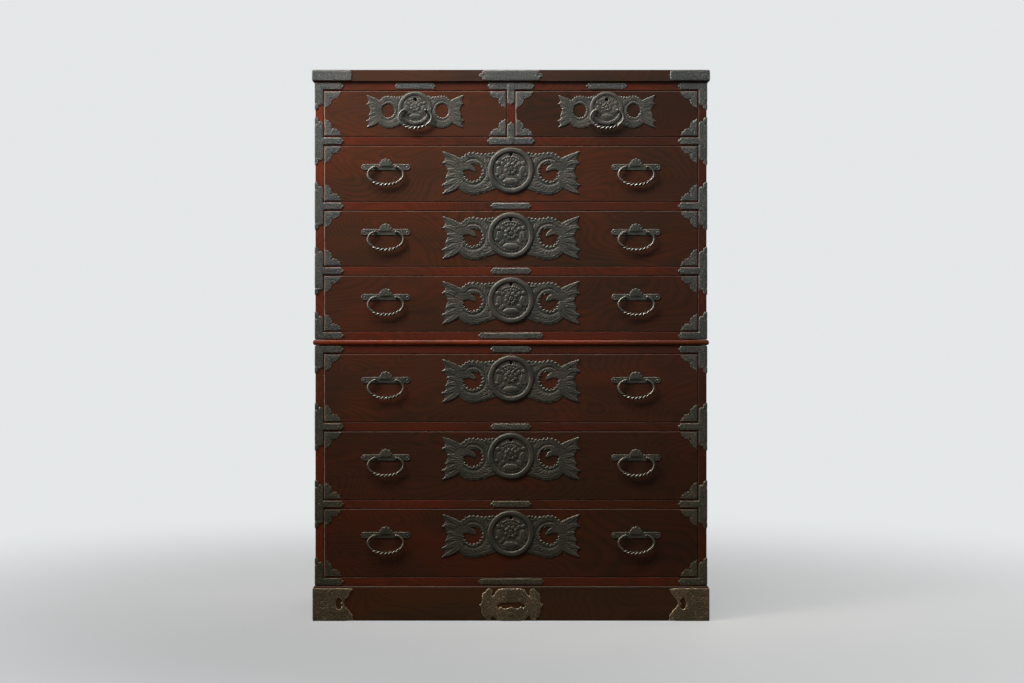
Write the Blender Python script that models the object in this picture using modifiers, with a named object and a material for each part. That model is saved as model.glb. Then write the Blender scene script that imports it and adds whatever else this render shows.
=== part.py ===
"""A clothing chest in two stacked cases on a plinth, with drawers, iron locks and bail handles."""

import math

import bmesh
import bpy
from mathutils import Matrix, Vector

# Clearances
SEAT_GAP = 0.0003
IRON_SINK = 0.0002
CUT_OVERRUN = 0.002
RUNNING_GAP = 0.0010
DRAWER_TOP_GAP = 0.0012
DRAWER_BACK_GAP = 0.006
PIN_CLEARANCE = 0.0004
BOLT_CLEARANCE = 0.0003
IRON_STEP = 0.0003

# Cases
CASE_WIDTH = 1.060
CASE_DEPTH = 0.450
SIDE_THICKNESS = 0.022
BACK_THICKNESS = 0.008
SHELF_THICKNESS = 0.008
RAIL_DEPTH = 0.030
TONGUE_LENGTH = 0.006
TONGUE_THICKNESS = 0.005
TONGUE_SETBACK = 0.010
CENTRE_POST_WIDTH = 0.022

# Heights, from the floor up
PLINTH_HEIGHT = 0.094
LOWER_RAIL_HEIGHT = 0.023
LOWER_OPENING_HEIGHT = 0.187
LOWER_HEAD_RAIL_HEIGHT = 0.022
WAIST_HEIGHT = 0.015
UPPER_FOOT_RAIL_HEIGHT = 0.022
UPPER_OPENING_HEIGHT = 0.153
UPPER_RAIL_HEIGHT = 0.023
SMALL_OPENING_HEIGHT = 0.126
TOP_BOARD_HEIGHT = 0.032
LOWER_DRAWERS = 3
UPPER_DRAWERS = 3

# Plinth, waist moulding and top board
PLINTH_PROJECTION = 0.005
PLINTH_WALL = 0.022
PLINTH_EDGE_ROUND = 0.005
WAIST_PROJECTION = 0.006
WAIST_EDGE_ROUND = 0.0065
TOP_OVERHANG = 0.0066
TOP_EDGE_ROUND = 0.002
EDGE_SEGMENTS = 3

# Drawers
FRONT_THICKNESS = 0.020
FRONT_LIP = 0.008
FRONT_FOOT_GAP = 0.0008
TRAY_WALL = 0.010
TRAY_FLOOR = 0.008
TRAY_HEAD_ROOM = 0.004

# Iron on the cases
IRON_THICKNESS = 0.002
STILE_IRON_REVEAL = 0.001
STILE_IRON_REACH = 0.065
RAIL_IRON_LENGTH = 0.077
RAIL_IRON_HEIGHT = 0.0185
IRON_TIP = 0.006
IRON_TAPER = 0.001
SIDE_WRAP = 0.045
CENTRE_IRON_LENGTH = 0.129
CENTRE_IRON_LEG = 0.055
RAIL_STRAP_LENGTH = 0.111
RAIL_STRAP_HEIGHT = 0.0165
FOOT_STRAP_LENGTH = 0.177
TOP_STRAP_LENGTH = 0.173
TOP_CORNER_LENGTH = 0.109
TOP_WRAP = 0.060
DRAWER_CORNER_LEG = 0.046
DRAWER_CORNER_WIDTH = 0.012
DRAWER_CORNER_THICKNESS = 0.0012

# Iron on the plinth
PLINTH_CORNER_LENGTH = 0.110
PLINTH_WRAP = 0.060
PLINTH_IRON_HEIGHT = 0.0885
PLINTH_CENTRE_LENGTH = 0.173

# Handles
HANDLE_SPREAD = 0.339
HANDLE_DROP_SHARE = 0.382
HANDLE_PLATE_LENGTH = 0.134
HANDLE_PLATE_HEIGHT = 0.0178
HANDLE_PLATE_THICKNESS = 0.0022
SHELL_RADIUS = 0.0187
SHELL_LIFT = 0.0065
SHELL_THICKNESS = 0.0042
POST_SPREAD = 0.029
POST_WIDTH = 0.006
POST_HEIGHT = 0.010
POST_CAP = 0.0048
BAIL_STANDOFF = 0.011
BAIL_DIAMETER = 0.0058
BAIL_GRIP_DIAMETER = 0.009
BAIL_PIN_DIAMETER = 0.005
BAIL_PIN_END = 0.001
BAIL_DROP = 0.048
BAIL_SHOULDER_DROP = 0.019
LARGE_BAIL_HALF_WIDTH = 0.048
SMALL_BAIL_HALF_WIDTH = 0.0445
BAIL_SEGMENTS = 14
GRIP_SWELL_POWER = 4

# Locks
LOCK_PLATE_THICKNESS = 0.0025
MEDALLION_DROP = 0.068
MEDALLION_RADIUS = 0.063
SCROLL_DROP = 0.076
SCROLL_HALF_LENGTH = 0.188
SCROLL_HALF_HEIGHT = 0.0585
SMALL_MEDALLION_DROP = 0.049
SMALL_MEDALLION_RADIUS = 0.046
SMALL_SCROLL_DROP = 0.0585
SMALL_SCROLL_HALF_LENGTH = 0.133
SMALL_SCROLL_HALF_HEIGHT = 0.0445
SMALL_BAIL_DROP_FROM_TOP = 0.055
MEDALLION_HEIGHT = 0.0068
SMALL_MEDALLION_HEIGHT = 0.0042
KEYHOLE_DROP = 0.025
KEYHOLE_RADIUS = 0.0019
KEY_TUBE_RADIUS = 0.006
LOCK_CASE_WIDTH = 0.060
LOCK_CASE_LENGTH = 0.066
BOLT_WIDTH = 0.024
BOLT_THICKNESS = 0.0078
BOLT_LENGTH = 0.045
BOLT_WALL = 0.0012
BOLT_TRAVEL = 0.008
MORTISE_SPARE = 0.001

# Numbers of sides on round shapes
MEDALLION_SIDES = 20
HOLE_SIDES = 8
ROUND_END_SEGMENTS = 5
SMOOTH_ANGLE = math.radians(35)
WELD_SHARE = 0.02

# Half outline of a lock's scrollwork as shares of its half length and half height, from the
# top beside the medallion out round the leaves and back along the foot
SCROLL_OUTLINE_SHARES = (
    (0.20, 0.93), (0.33, 1.00), (0.44, 0.94), (0.55, 0.99), (0.65, 0.90), (0.71, 0.66),
    (0.77, 0.80), (0.82, 0.70), (0.88, 0.88), (0.97, 1.00), (0.94, 0.64), (1.00, 0.50),
    (0.96, 0.24), (0.91, 0.03), (0.93, -0.24), (0.98, -0.48), (0.97, -1.00), (0.86, -0.83),
    (0.76, -0.46), (0.71, -0.66), (0.63, -0.90), (0.47, -1.00), (0.20, -0.95),
)
SCROLL_HOLE_CENTRE_SHARE = 0.545
SCROLL_HOLE_RISE_SHARE = 0.08
SCROLL_HOLE_WIDTH_SHARE = 0.145
SCROLL_HOLE_HEIGHT_SHARE = 0.46

# Turned medallion: share of the radius, share of the height, from the centre out
MEDALLION_PROFILE_SHARES = (
    (0.20, 1.0), (0.32, 0.36), (0.82, 0.36), (0.86, 0.9), (0.95, 1.0), (1.0, 0.62),
)

# Plinth corner plate, from its corner in, as shares of its length and height
PLINTH_CORNER_SHARES = (
    (0.0, 0.0), (1.0, 0.0), (0.93, 0.14), (0.98, 0.34), (0.80, 0.40), (0.62, 0.30), (0.50, 0.50),
    (0.62, 0.70), (0.80, 0.60), (0.98, 0.66), (0.93, 0.86), (1.0, 1.0), (0.0, 1.0),
)
# Right half of the plinth's centre plate and of the opening in it, as shares of half length
# and height
PLINTH_CENTRE_SHARES = (
    (0.46, 0.0), (0.52, 0.18), (0.60, 0.05), (0.74, 0.03), (0.90, 0.20), (0.90, 0.44),
    (1.0, 0.50), (0.90, 0.62), (0.92, 0.84), (0.76, 0.99), (0.62, 0.96), (0.56, 0.78), (0.40, 0.99),
)
PLINTH_SLOT_SHARES = ((0.0, 0.43), (0.30, 0.39), (0.44, 0.46), (0.40, 0.57))

# Derived places: the front of the furthest bail and the back of the case are level with the
# origin's middle
FRONT_REACH = BAIL_STANDOFF + max(BAIL_GRIP_DIAMETER / 2, POST_CAP)
FRONT_Y = (FRONT_REACH - CASE_DEPTH) / 2
BACK_Y = FRONT_Y + CASE_DEPTH
PANEL_Y = BACK_Y - BACK_THICKNESS
INNER_HALF_WIDTH = CASE_WIDTH / 2 - SIDE_THICKNESS
RAIL_SETBACK = IRON_SINK + SEAT_GAP
BOLT_Y = FRONT_LIP + SEAT_GAP + BOLT_WALL

# Colours are linear; each entry is colour, roughness and metallic value
FINISHES = {
    "plinth": ((0.045, 0.016, 0.009), 0.35, 0.0),
    "side_board": ((0.120, 0.036, 0.018), 0.30, 0.0),
    "shelf_frame": ((0.110, 0.034, 0.017), 0.35, 0.0),
    "partition": ((0.100, 0.032, 0.018), 0.35, 0.0),
    "waist": ((0.200, 0.055, 0.026), 0.28, 0.0),
    "top": ((0.100, 0.032, 0.018), 0.30, 0.0),
    "drawer_front": ((0.065, 0.022, 0.013), 0.28, 0.0),
    "drawer_tray": ((0.400, 0.280, 0.170), 0.70, 0.0),
    "lock": ((0.070, 0.072, 0.060), 0.50, 0.9),
    "bolt": ((0.120, 0.110, 0.095), 0.40, 1.0),
    "bail": ((0.080, 0.080, 0.068), 0.42, 1.0),
    "plinth_iron": ((0.050, 0.050, 0.040), 0.55, 0.9),
}


def clear_scene():
    for old in list(bpy.data.objects):
        bpy.data.objects.remove(old)


def new_collection(name):
    collection = bpy.data.collections.new(name)
    bpy.context.scene.collection.children.link(collection)
    return collection


def make_material(name):
    colour, roughness, metallic = FINISHES[name]
    material = bpy.data.materials.new(name)
    material.use_nodes = True
    shader = material.node_tree.nodes["Principled BSDF"]
    shader.inputs["Base Color"].default_value = (*colour, 1.0)
    shader.inputs["Roughness"].default_value = roughness
    shader.inputs["Metallic"].default_value = metallic
    return material


def levels(start, heights):
    """The level below and above each of these heights, stacked from start."""
    found = [start]
    for height in heights:
        found.append(found[-1] + height)
    return found


def scaled(shares, width, height, x=0.0, z=0.0):
    return [(x + u * width, z + v * height) for u, v in shares]


def mirrored_loop(half):
    """A closed outline from its half at +X, which starts and ends near the middle."""
    other = [(-x, z) for x, z in reversed(half) if x]
    return half + other


def ellipse(x, z, half_width, half_height, sides):
    turns = [2 * math.pi * i / sides for i in range(sides)]
    return [(x + half_width * math.cos(t), z + half_height * math.sin(t)) for t in turns]


def add_object(name, mesh):
    found = bpy.data.objects.new(name, mesh)
    parts.objects.link(found)
    return found


def box(name, low, high):
    """A box between two corners, with its mesh in place."""
    low, high = Vector(low), Vector(high)
    matrix = Matrix.Translation((low + high) / 2) @ Matrix.Diagonal(high - low).to_4x4()
    shape = bmesh.new()
    bmesh.ops.create_cube(shape, size=1, matrix=matrix)
    mesh = bpy.data.meshes.new(name)
    shape.to_mesh(mesh)
    shape.free()
    return add_object(name, mesh)


def rod(name, radius, start, end, sides=HOLE_SIDES):
    """A cylinder between two points."""
    start, end = Vector(start), Vector(end)
    turn = (end - start).to_track_quat("Z", "Y").to_matrix().to_4x4()
    shape = bmesh.new()
    bmesh.ops.create_cone(
        shape, cap_ends=True, segments=sides, radius1=radius, radius2=radius,
        depth=(end - start).length, matrix=Matrix.Translation((start + end) / 2) @ turn,
    )
    mesh = bpy.data.meshes.new(name)
    shape.to_mesh(mesh)
    shape.free()
    return add_object(name, mesh)


def mesh_from_curve(guide):
    """The curve object's solid as a mesh object in its place, with its caps welded on."""
    bpy.context.view_layer.update()
    graph = bpy.context.evaluated_depsgraph_get()
    mesh = bpy.data.meshes.new_from_object(guide.evaluated_get(graph))
    mesh.transform(guide.matrix_world)
    shape = bmesh.new()
    shape.from_mesh(mesh)
    bmesh.ops.remove_doubles(shape, verts=shape.verts, dist=SEAT_GAP * WELD_SHARE)
    shape.to_mesh(mesh)
    shape.free()
    name = guide.name
    bpy.data.objects.remove(guide)
    return add_object(name, mesh)


def plate(name, loops, thickness, face_y):
    """A flat plate in the XZ plane, its face towards -Y at face_y; inner loops are holes."""
    curve = bpy.data.curves.new(name, "CURVE")
    curve.dimensions = "2D"
    curve.fill_mode = "BOTH"
    curve.extrude = thickness / 2
    for loop in loops:
        spline = curve.splines.new("POLY")
        spline.points.add(len(loop) - 1)
        for point, (x, z) in zip(spline.points, loop):
            point.co = (x, z, 0, 1)
        spline.use_cyclic_u = True
    guide = add_object(name, curve)
    guide.rotation_euler.x = math.pi / 2
    guide.location.y = face_y + thickness / 2
    return mesh_from_curve(guide)


def profile_solid(name, outline, half_width):
    """A section in the YZ plane run along X, centred on the middle."""
    curve = bpy.data.curves.new(name, "CURVE")
    curve.dimensions = "2D"
    curve.fill_mode = "BOTH"
    curve.extrude = half_width
    spline = curve.splines.new("POLY")
    spline.points.add(len(outline) - 1)
    for point, (y, z) in zip(spline.points, outline):
        point.co = (y, z, 0, 1)
    spline.use_cyclic_u = True
    guide = add_object(name, curve)
    guide.matrix_world = Matrix(((0, 0, 1, 0), (1, 0, 0, 0), (0, 1, 0, 0), (0, 0, 0, 1)))
    return mesh_from_curve(guide)


def turned(name, profile, centre, face_y):
    """A disc turned about a line along Y, from (radius, height) pairs, its back at face_y."""
    points = [(0.0, profile[0][1])] + list(profile) + [(profile[-1][0], 0.0), (0.0, 0.0)]
    mesh = bpy.data.meshes.new(name)
    edges = [(i, i + 1) for i in range(len(points) - 1)]
    mesh.from_pydata([(radius, 0, height) for radius, height in points], edges, [])
    disc = add_object(name, mesh)
    screw = disc.modifiers.new("turn", "SCREW")
    screw.steps = screw.render_steps = MEDALLION_SIDES
    screw.use_merge_vertices = True
    screw.merge_threshold = SEAT_GAP * WELD_SHARE
    disc.matrix_world = Matrix.Translation((centre[0], face_y, centre[1])) @ Matrix.Rotation(
        math.pi / 2, 4, "X"
    )
    return settle(disc)


def settle(body):
    """Makes the object's modifiers plain mesh, and removes the shapes that they used."""
    bpy.context.view_layer.update()
    graph = bpy.context.evaluated_depsgraph_get()
    mesh = bpy.data.meshes.new_from_object(body.evaluated_get(graph))
    mesh.transform(body.matrix_world)
    tools = [modifier.object for modifier in body.modifiers if modifier.type == "BOOLEAN"]
    body.modifiers.clear()
    body.data = mesh
    body.matrix_world = Matrix.Identity(4)
    for tool in tools:
        bpy.data.objects.remove(tool)
    return body


def combine(body, joined=(), cut=()):
    """The body with some shapes joined to it and then others cut out of it."""
    for operation, tools in (("UNION", joined), ("DIFFERENCE", cut)):
        for tool in tools:
            parts.objects.unlink(tool)
            cutters.objects.link(tool)
            tool.hide_render = True
            tool.display_type = "WIRE"
            modifier = body.modifiers.new(tool.name, "BOOLEAN")
            modifier.operation = operation
            modifier.solver = "EXACT"
            modifier.object = tool
    return settle(body)


def finish(body, material_name, smooth=False):
    body.data.materials.clear()
    body.data.materials.append(materials[material_name])
    if smooth:
        body.data.shade_smooth()
        body.data.set_sharp_from_angle(angle=SMOOTH_ANGLE)
    return body


def group(name, location, parent=None):
    empty = bpy.data.objects.new(name, None)
    parts.objects.link(empty)
    empty.parent = parent
    empty.location = location
    return empty


def copy_of(source, name, location, parent):
    found = add_object(name, source.data)
    found.parent = parent
    found.location = location
    return found


def round_front_and_sides(body, radius, foot_too):
    """Rounds a board's level edges, except those at the back and, if asked, those at its foot."""
    shape = bmesh.new()
    shape.from_mesh(body.data)
    top = max(vert.co.z for vert in shape.verts)
    back = max(vert.co.y for vert in shape.verts)

    def chosen(edge):
        first, second = (vert.co for vert in edge.verts)
        level = abs(first.z - second.z) < SEAT_GAP
        at_back = min(first.y, second.y) > back - SEAT_GAP
        return level and not at_back and (foot_too or first.z > top - SEAT_GAP)

    edges = [edge for edge in shape.edges if chosen(edge)]
    bmesh.ops.bevel(
        shape, geom=edges, offset=radius, segments=EDGE_SEGMENTS, affect="EDGES", profile=0.5
    )
    shape.to_mesh(body.data)
    shape.free()
    return body


# Cases


def comb_outline(rails, foot, head, low_head_board):
    """Section of the back panel with its rails and shelves, as (y, z) points."""
    front = FRONT_Y + RAIL_SETBACK
    behind = FRONT_Y + RAIL_DEPTH
    points = [(BACK_Y, foot), (PANEL_Y, foot)]
    for low, high in rails[:-1]:
        low = max(low, foot)
        under = high - SHELF_THICKNESS
        points += [(PANEL_Y, under), (behind, under), (behind, low), (front, low), (front, high)]
        points.append((PANEL_Y, high))
    low, high = rails[-1]
    if low_head_board:
        over = low + SHELF_THICKNESS
        points += [(PANEL_Y, low), (front, low), (front, high), (behind, high), (behind, over)]
        points += [(PANEL_Y, over), (PANEL_Y, head), (BACK_Y, head)]
    else:
        under = high - SHELF_THICKNESS
        points += [(PANEL_Y, under), (behind, under), (behind, low), (front, low), (front, high)]
        points.append((BACK_Y, high))
    return points


def tongue_levels(rails, low_head_board):
    """Lower and upper level of each shelf's tongue."""
    found = []
    for index, (low, high) in enumerate(rails):
        board = high - SHELF_THICKNESS
        if low_head_board and index == len(rails) - 1:
            board = low
        middle = board + SHELF_THICKNESS / 2
        found.append((middle - TONGUE_THICKNESS / 2, middle + TONGUE_THICKNESS / 2))
    return found


def rail_strap(name, length, low, high, x=0.0):
    """A flat iron strap with pointed ends, nailed along a rail."""
    half = length / 2
    middle = (low + high) / 2
    rise = min(RAIL_STRAP_HEIGHT, high - low) / 2
    loop = [(half, 0), (half - IRON_TIP, rise), (IRON_TIP - half, rise), (-half, 0)]
    loop += [(IRON_TIP - half, -rise), (half - IRON_TIP, -rise)]
    outline = [(x + u, middle + v) for u, v in loop]
    face = FRONT_Y + RAIL_SETBACK - IRON_THICKNESS
    return plate(name, [outline], IRON_THICKNESS + IRON_SINK, face)


def bolt_mortise(x, rail_low):
    half = BOLT_WIDTH / 2 + BOLT_CLEARANCE
    low = (x - half, FRONT_Y + BOLT_Y - BOLT_CLEARANCE, rail_low - CUT_OVERRUN)
    depth = BOLT_TRAVEL + MORTISE_SPARE
    back = FRONT_Y + BOLT_Y + BOLT_THICKNESS + BOLT_CLEARANCE
    return box("mortise", low, (x + half, back, rail_low + depth))


def build_shelf_frame(name, rails, low_head_board, straps, mortises):
    foot = rails[0][0] + SEAT_GAP
    head = rails[-1][1]
    outline = comb_outline(rails, foot, head, low_head_board)
    frame = profile_solid(name, outline, INNER_HALF_WIDTH - SEAT_GAP)
    reach = INNER_HALF_WIDTH + TONGUE_LENGTH
    start = FRONT_Y + RAIL_DEPTH + TONGUE_SETBACK
    tongues = [
        box("tongue", (-reach, start, low), (reach, PANEL_Y, high))
        for low, high in tongue_levels(rails, low_head_board)
    ]
    cuts = [bolt_mortise(x, low) for x, low in mortises]
    combine(frame, tongues + straps, cuts)
    return finish(frame, "shelf_frame")


def stile_iron(name, middle, above, below, side):
    """A T or L iron on a stile and the rail beside it, returned round the case's side."""
    outer = -IRON_THICKNESS + IRON_STEP
    inner = SIDE_THICKNESS - STILE_IRON_REVEAL
    half = RAIL_IRON_HEIGHT / 2
    centre = (outer + inner) / 2
    end = inner - IRON_TAPER
    loop = []
    if above > half:
        loop += [(outer, above - IRON_TIP), (centre, above), (end, above - IRON_TIP), (inner, half)]
    else:
        loop.append((outer, half))
    bar_end = RAIL_IRON_LENGTH - IRON_TIP
    loop += [(bar_end, half - IRON_TAPER), (RAIL_IRON_LENGTH, 0), (bar_end, IRON_TAPER - half)]
    if below > half:
        loop += [(inner, -half), (end, IRON_TIP - below), (centre, -below)]
        loop.append((outer, IRON_TIP - below))
    else:
        loop.append((outer, -half))
    edge = CASE_WIDTH / 2
    outline = [(side * (edge - u), middle + v) for u, v in loop]
    face = FRONT_Y - IRON_THICKNESS
    front = plate(name, [outline], IRON_THICKNESS + IRON_SINK, face)
    trim = IRON_TIP + IRON_STEP
    xs = sorted((side * (edge + IRON_THICKNESS), side * (edge - IRON_SINK)))
    low = (xs[0], face + IRON_STEP, middle - below + trim)
    high = (xs[1], FRONT_Y + SIDE_WRAP, middle + above - trim)
    return [front, box(name + "_wrap", low, high)]


def stile_irons(rails, side):
    """The irons of one side of a case: an L at each end and a T at each rail between."""
    half = RAIL_IRON_HEIGHT / 2
    found = []
    for index, (low, high) in enumerate(rails):
        above = half if index == len(rails) - 1 else STILE_IRON_REACH
        below = half if index == 0 else STILE_IRON_REACH
        found += stile_iron("stile_iron", (low + high) / 2, above, below, side)
    return found


def build_side(name, rails, low_head_board, side):
    edge = CASE_WIDTH / 2
    inner = INNER_HALF_WIDTH
    foot = rails[0][0] + SEAT_GAP
    head = rails[-1][1]
    xs = sorted((side * edge, side * inner))
    board = box(name, (xs[0], FRONT_Y, foot), (xs[1], BACK_Y, head))
    groove = sorted((side * (inner - CUT_OVERRUN), side * (inner + TONGUE_LENGTH + SEAT_GAP)))
    start = FRONT_Y + RAIL_DEPTH + TONGUE_SETBACK - SEAT_GAP
    end = BACK_Y + CUT_OVERRUN
    cuts = [
        box("groove", (groove[0], start, low - SEAT_GAP), (groove[1], end, high + SEAT_GAP))
        for low, high in tongue_levels(rails, low_head_board)
    ]
    combine(board, stile_irons(rails, side), cuts)
    return finish(board, "side_board")


def centre_iron(name, middle, leg):
    """A T iron on the partition's front edge; its bar lies along the rail, leg is signed."""
    half = CENTRE_IRON_LENGTH / 2
    rise = RAIL_IRON_HEIGHT / 2
    stem = CENTRE_POST_WIDTH / 2 - STILE_IRON_REVEAL
    way = math.copysign(1, leg)
    end_rise = rise - IRON_TAPER
    loop = [(half, 0), (half - IRON_TIP, way * end_rise), (stem, way * rise)]
    loop += [(stem - IRON_TAPER, leg - way * IRON_TIP), (0.0, leg)]
    other = [(-x, z) for x, z in reversed(loop) if x]
    back = [(IRON_TIP - half, -way * rise), (half - IRON_TIP, -way * rise)]
    outline = [(x, middle + z) for x, z in loop + other + back]
    return plate(name, [outline], IRON_THICKNESS + IRON_SINK, FRONT_Y - IRON_THICKNESS)


def build_partition(low, high, rail_below, rail_above):
    half = CENTRE_POST_WIDTH / 2
    post = box(
        "centre_partition", (-half, FRONT_Y, low + SEAT_GAP), (half, PANEL_Y - SEAT_GAP, high - SEAT_GAP)
    )
    irons = [
        centre_iron("foot_iron", sum(rail_below) / 2, CENTRE_IRON_LEG),
        centre_iron("head_iron", sum(rail_above) / 2, -CENTRE_IRON_LEG),
    ]
    combine(post, irons)
    return finish(post, "partition")


def build_waist(low):
    out = CASE_WIDTH / 2 + WAIST_PROJECTION
    front = FRONT_Y - WAIST_PROJECTION
    board = box("waist_board", (-out, front, low + SEAT_GAP), (out, BACK_Y, low + WAIST_HEIGHT))
    round_front_and_sides(board, WAIST_EDGE_ROUND, foot_too=True)
    return finish(board, "waist")


def edge_strap(name, length, low, high, face_y):
    """An iron strap over the whole height of a board's edge, with pointed ends."""
    half = length / 2
    middle = (low + high) / 2
    outline = [(half - IRON_TIP, high), (IRON_TIP - half, high), (-half, middle)]
    outline += [(IRON_TIP - half, low), (half - IRON_TIP, low), (half, middle)]
    return plate(name, [outline], IRON_THICKNESS + IRON_SINK, face_y)


def top_corner_iron(low, high, side):
    """The iron round a front corner of the top board: a strap in front and one at the side."""
    edge = CASE_WIDTH / 2 + TOP_OVERHANG
    face = FRONT_Y - TOP_OVERHANG - IRON_THICKNESS
    length = TOP_CORNER_LENGTH
    middle = (low + high) / 2
    loop = [(IRON_STEP - IRON_THICKNESS, high), (length - IRON_TIP, high), (length, middle)]
    loop += [(length - IRON_TIP, low), (IRON_STEP - IRON_THICKNESS, low)]
    outline = [(side * (edge - u), z) for u, z in loop]
    front = plate("top_iron", [outline], IRON_THICKNESS + IRON_SINK, face)
    xs = sorted((side * (edge + IRON_THICKNESS), side * (edge - IRON_SINK)))
    corner = (xs[0], face + IRON_STEP, low + IRON_STEP)
    return [front, box("top_wrap", corner, (xs[1], face + TOP_WRAP, high - IRON_STEP))]


def build_top_board(low):
    out = CASE_WIDTH / 2 + TOP_OVERHANG
    front = FRONT_Y - TOP_OVERHANG
    foot = low + SEAT_GAP
    head = low + TOP_BOARD_HEIGHT
    board = box("top_board", (-out, front, foot), (out, BACK_Y, head))
    round_front_and_sides(board, TOP_EDGE_ROUND, foot_too=True)
    iron_low = foot + TOP_EDGE_ROUND
    iron_high = head - TOP_EDGE_ROUND
    irons = [edge_strap("top_strap", TOP_STRAP_LENGTH, iron_low, iron_high, front - IRON_THICKNESS)]
    for side in (-1, 1):
        irons += top_corner_iron(iron_low, iron_high, side)
    combine(board, irons)
    return finish(board, "top")


def build_plinth():
    out = CASE_WIDTH / 2 + PLINTH_PROJECTION
    front = FRONT_Y - PLINTH_PROJECTION
    plinth = box("base_plinth", (-out, front, 0), (out, BACK_Y, PLINTH_HEIGHT))
    round_front_and_sides(plinth, PLINTH_EDGE_ROUND, foot_too=False)
    inside = box(
        "plinth_hollow",
        (PLINTH_WALL - out, front + PLINTH_WALL, -CUT_OVERRUN),
        (out - PLINTH_WALL, BACK_Y - PLINTH_WALL, PLINTH_HEIGHT + CUT_OVERRUN),
    )
    combine(plinth, cut=[inside])
    return finish(plinth, "plinth")


def build_plinth_corner(name, side):
    """A plate on the plinth's face by its corner, returned along its side."""
    edge = CASE_WIDTH / 2 + PLINTH_PROJECTION + SEAT_GAP
    face = FRONT_Y - PLINTH_PROJECTION - SEAT_GAP - IRON_THICKNESS
    outer = edge + IRON_THICKNESS
    loop = scaled(PLINTH_CORNER_SHARES, PLINTH_CORNER_LENGTH, PLINTH_IRON_HEIGHT)
    outline = [(side * (outer - u), z) for u, z in loop]
    iron = plate(name, [outline], IRON_THICKNESS, face)
    xs = sorted((side * outer, side * edge))
    wrap = box("wrap", (xs[0], face, 0), (xs[1], face + PLINTH_WRAP, PLINTH_IRON_HEIGHT))
    combine(iron, [wrap])
    return finish(iron, "plinth_iron")


def build_plinth_centre():
    face = FRONT_Y - PLINTH_PROJECTION - SEAT_GAP - IRON_THICKNESS
    half = PLINTH_CENTRE_LENGTH / 2
    outer = mirrored_loop(scaled(PLINTH_CENTRE_SHARES, half, PLINTH_IRON_HEIGHT))
    slot = mirrored_loop(scaled(PLINTH_SLOT_SHARES, half, PLINTH_IRON_HEIGHT))
    iron = plate("base_centre_iron", [outer, slot], IRON_THICKNESS, face)
    return finish(iron, "plinth_iron")


# Handles: each is drawn with its pivot axis at x and z, and the drawer's face at Y = 0


def eye_posts(x, z, spread, foot_y):
    """Two posts that a bail's pins turn in, without their holes, from foot_y forwards."""
    half = POST_WIDTH / 2
    rise = POST_HEIGHT / 2
    return [
        box(
            "post",
            (x + way * spread - half, -BAIL_STANDOFF - POST_CAP, z - rise),
            (x + way * spread + half, foot_y, z + rise),
        )
        for way in (-1, 1)
    ]


def post_holes(x, z, spread):
    reach = POST_WIDTH / 2 + CUT_OVERRUN
    radius = BAIL_PIN_DIAMETER / 2 + PIN_CLEARANCE
    return [
        rod(
            "post_hole",
            radius,
            (x + way * spread - reach, -BAIL_STANDOFF, z),
            (x + way * spread + reach, -BAIL_STANDOFF, z),
        )
        for way in (-1, 1)
    ]


def handle_plate(x, z):
    """A round-ended bar with a shell-shaped boss over its middle."""
    half = HANDLE_PLATE_LENGTH / 2
    rise = HANDLE_PLATE_HEIGHT / 2
    steps = [math.pi * i / ROUND_END_SEGMENTS for i in range(ROUND_END_SEGMENTS + 1)]
    ends = [(half - rise + rise * math.sin(t), -rise * math.cos(t)) for t in steps]
    bar = ends + [(-u, -v) for u, v in ends]
    arc = [(SHELL_RADIUS * math.cos(t), SHELL_LIFT + SHELL_RADIUS * math.sin(t)) for t in steps]
    shell = [(-SHELL_RADIUS, 0)] + [(SHELL_RADIUS, 0)] + arc
    sunk = IRON_SINK
    outlines = [[(x + u, z + v) for u, v in loop] for loop in (bar, shell)]
    return [
        plate("handle_bar", [outlines[0]], HANDLE_PLATE_THICKNESS + sunk, -HANDLE_PLATE_THICKNESS),
        plate("shell_boss", [outlines[1]], SHELL_THICKNESS + sunk, -SHELL_THICKNESS),
    ]


def bail_path(half_width):
    """Points from one pin's end to the other's: x, z and the share of the rod's thickness."""
    pin_share = BAIL_PIN_DIAMETER / BAIL_DIAMETER
    grip_swell = BAIL_GRIP_DIAMETER / BAIL_DIAMETER - 1
    inner = POST_SPREAD - POST_WIDTH / 2 - BAIL_PIN_END
    outer = POST_SPREAD + POST_WIDTH / 2 + BAIL_PIN_END
    lower = BAIL_DROP - BAIL_SHOULDER_DROP
    upper = BAIL_SHOULDER_DROP / math.sqrt(1 - (outer / half_width) ** 2)
    start = math.acos(-outer / half_width)
    turn = 2 * (1.5 * math.pi - start)
    points = [(-inner, 0, pin_share), (-outer, 0, pin_share)]
    for i in range(1, BAIL_SEGMENTS):
        angle = start + turn * i / BAIL_SEGMENTS
        rise = upper if math.sin(angle) > 0 else lower
        share = 1 + grip_swell * max(0.0, -math.sin(angle)) ** GRIP_SWELL_POWER
        z = -BAIL_SHOULDER_DROP + rise * math.sin(angle)
        points.append((half_width * math.cos(angle), z, share))
    return points + [(outer, 0, pin_share), (inner, 0, pin_share)]


def build_bail(name, half_width):
    """A hanging bail with its origin on its pivot axis, midway between its posts."""
    curve = bpy.data.curves.new(name, "CURVE")
    curve.dimensions = "3D"
    curve.bevel_depth = BAIL_DIAMETER / 2
    curve.bevel_resolution = 1
    curve.use_fill_caps = True
    path = bail_path(half_width)
    spline = curve.splines.new("POLY")
    spline.points.add(len(path) - 1)
    for point, (x, z, share) in zip(spline.points, path):
        point.co = (x, 0, z, 1)
        point.radius = share
    bail = mesh_from_curve(add_object(name, curve))
    return finish(bail, "bail", smooth=True)


# Drawers: each is drawn with its opening's foot at Z = 0 and the case's front at Y = 0


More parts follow.
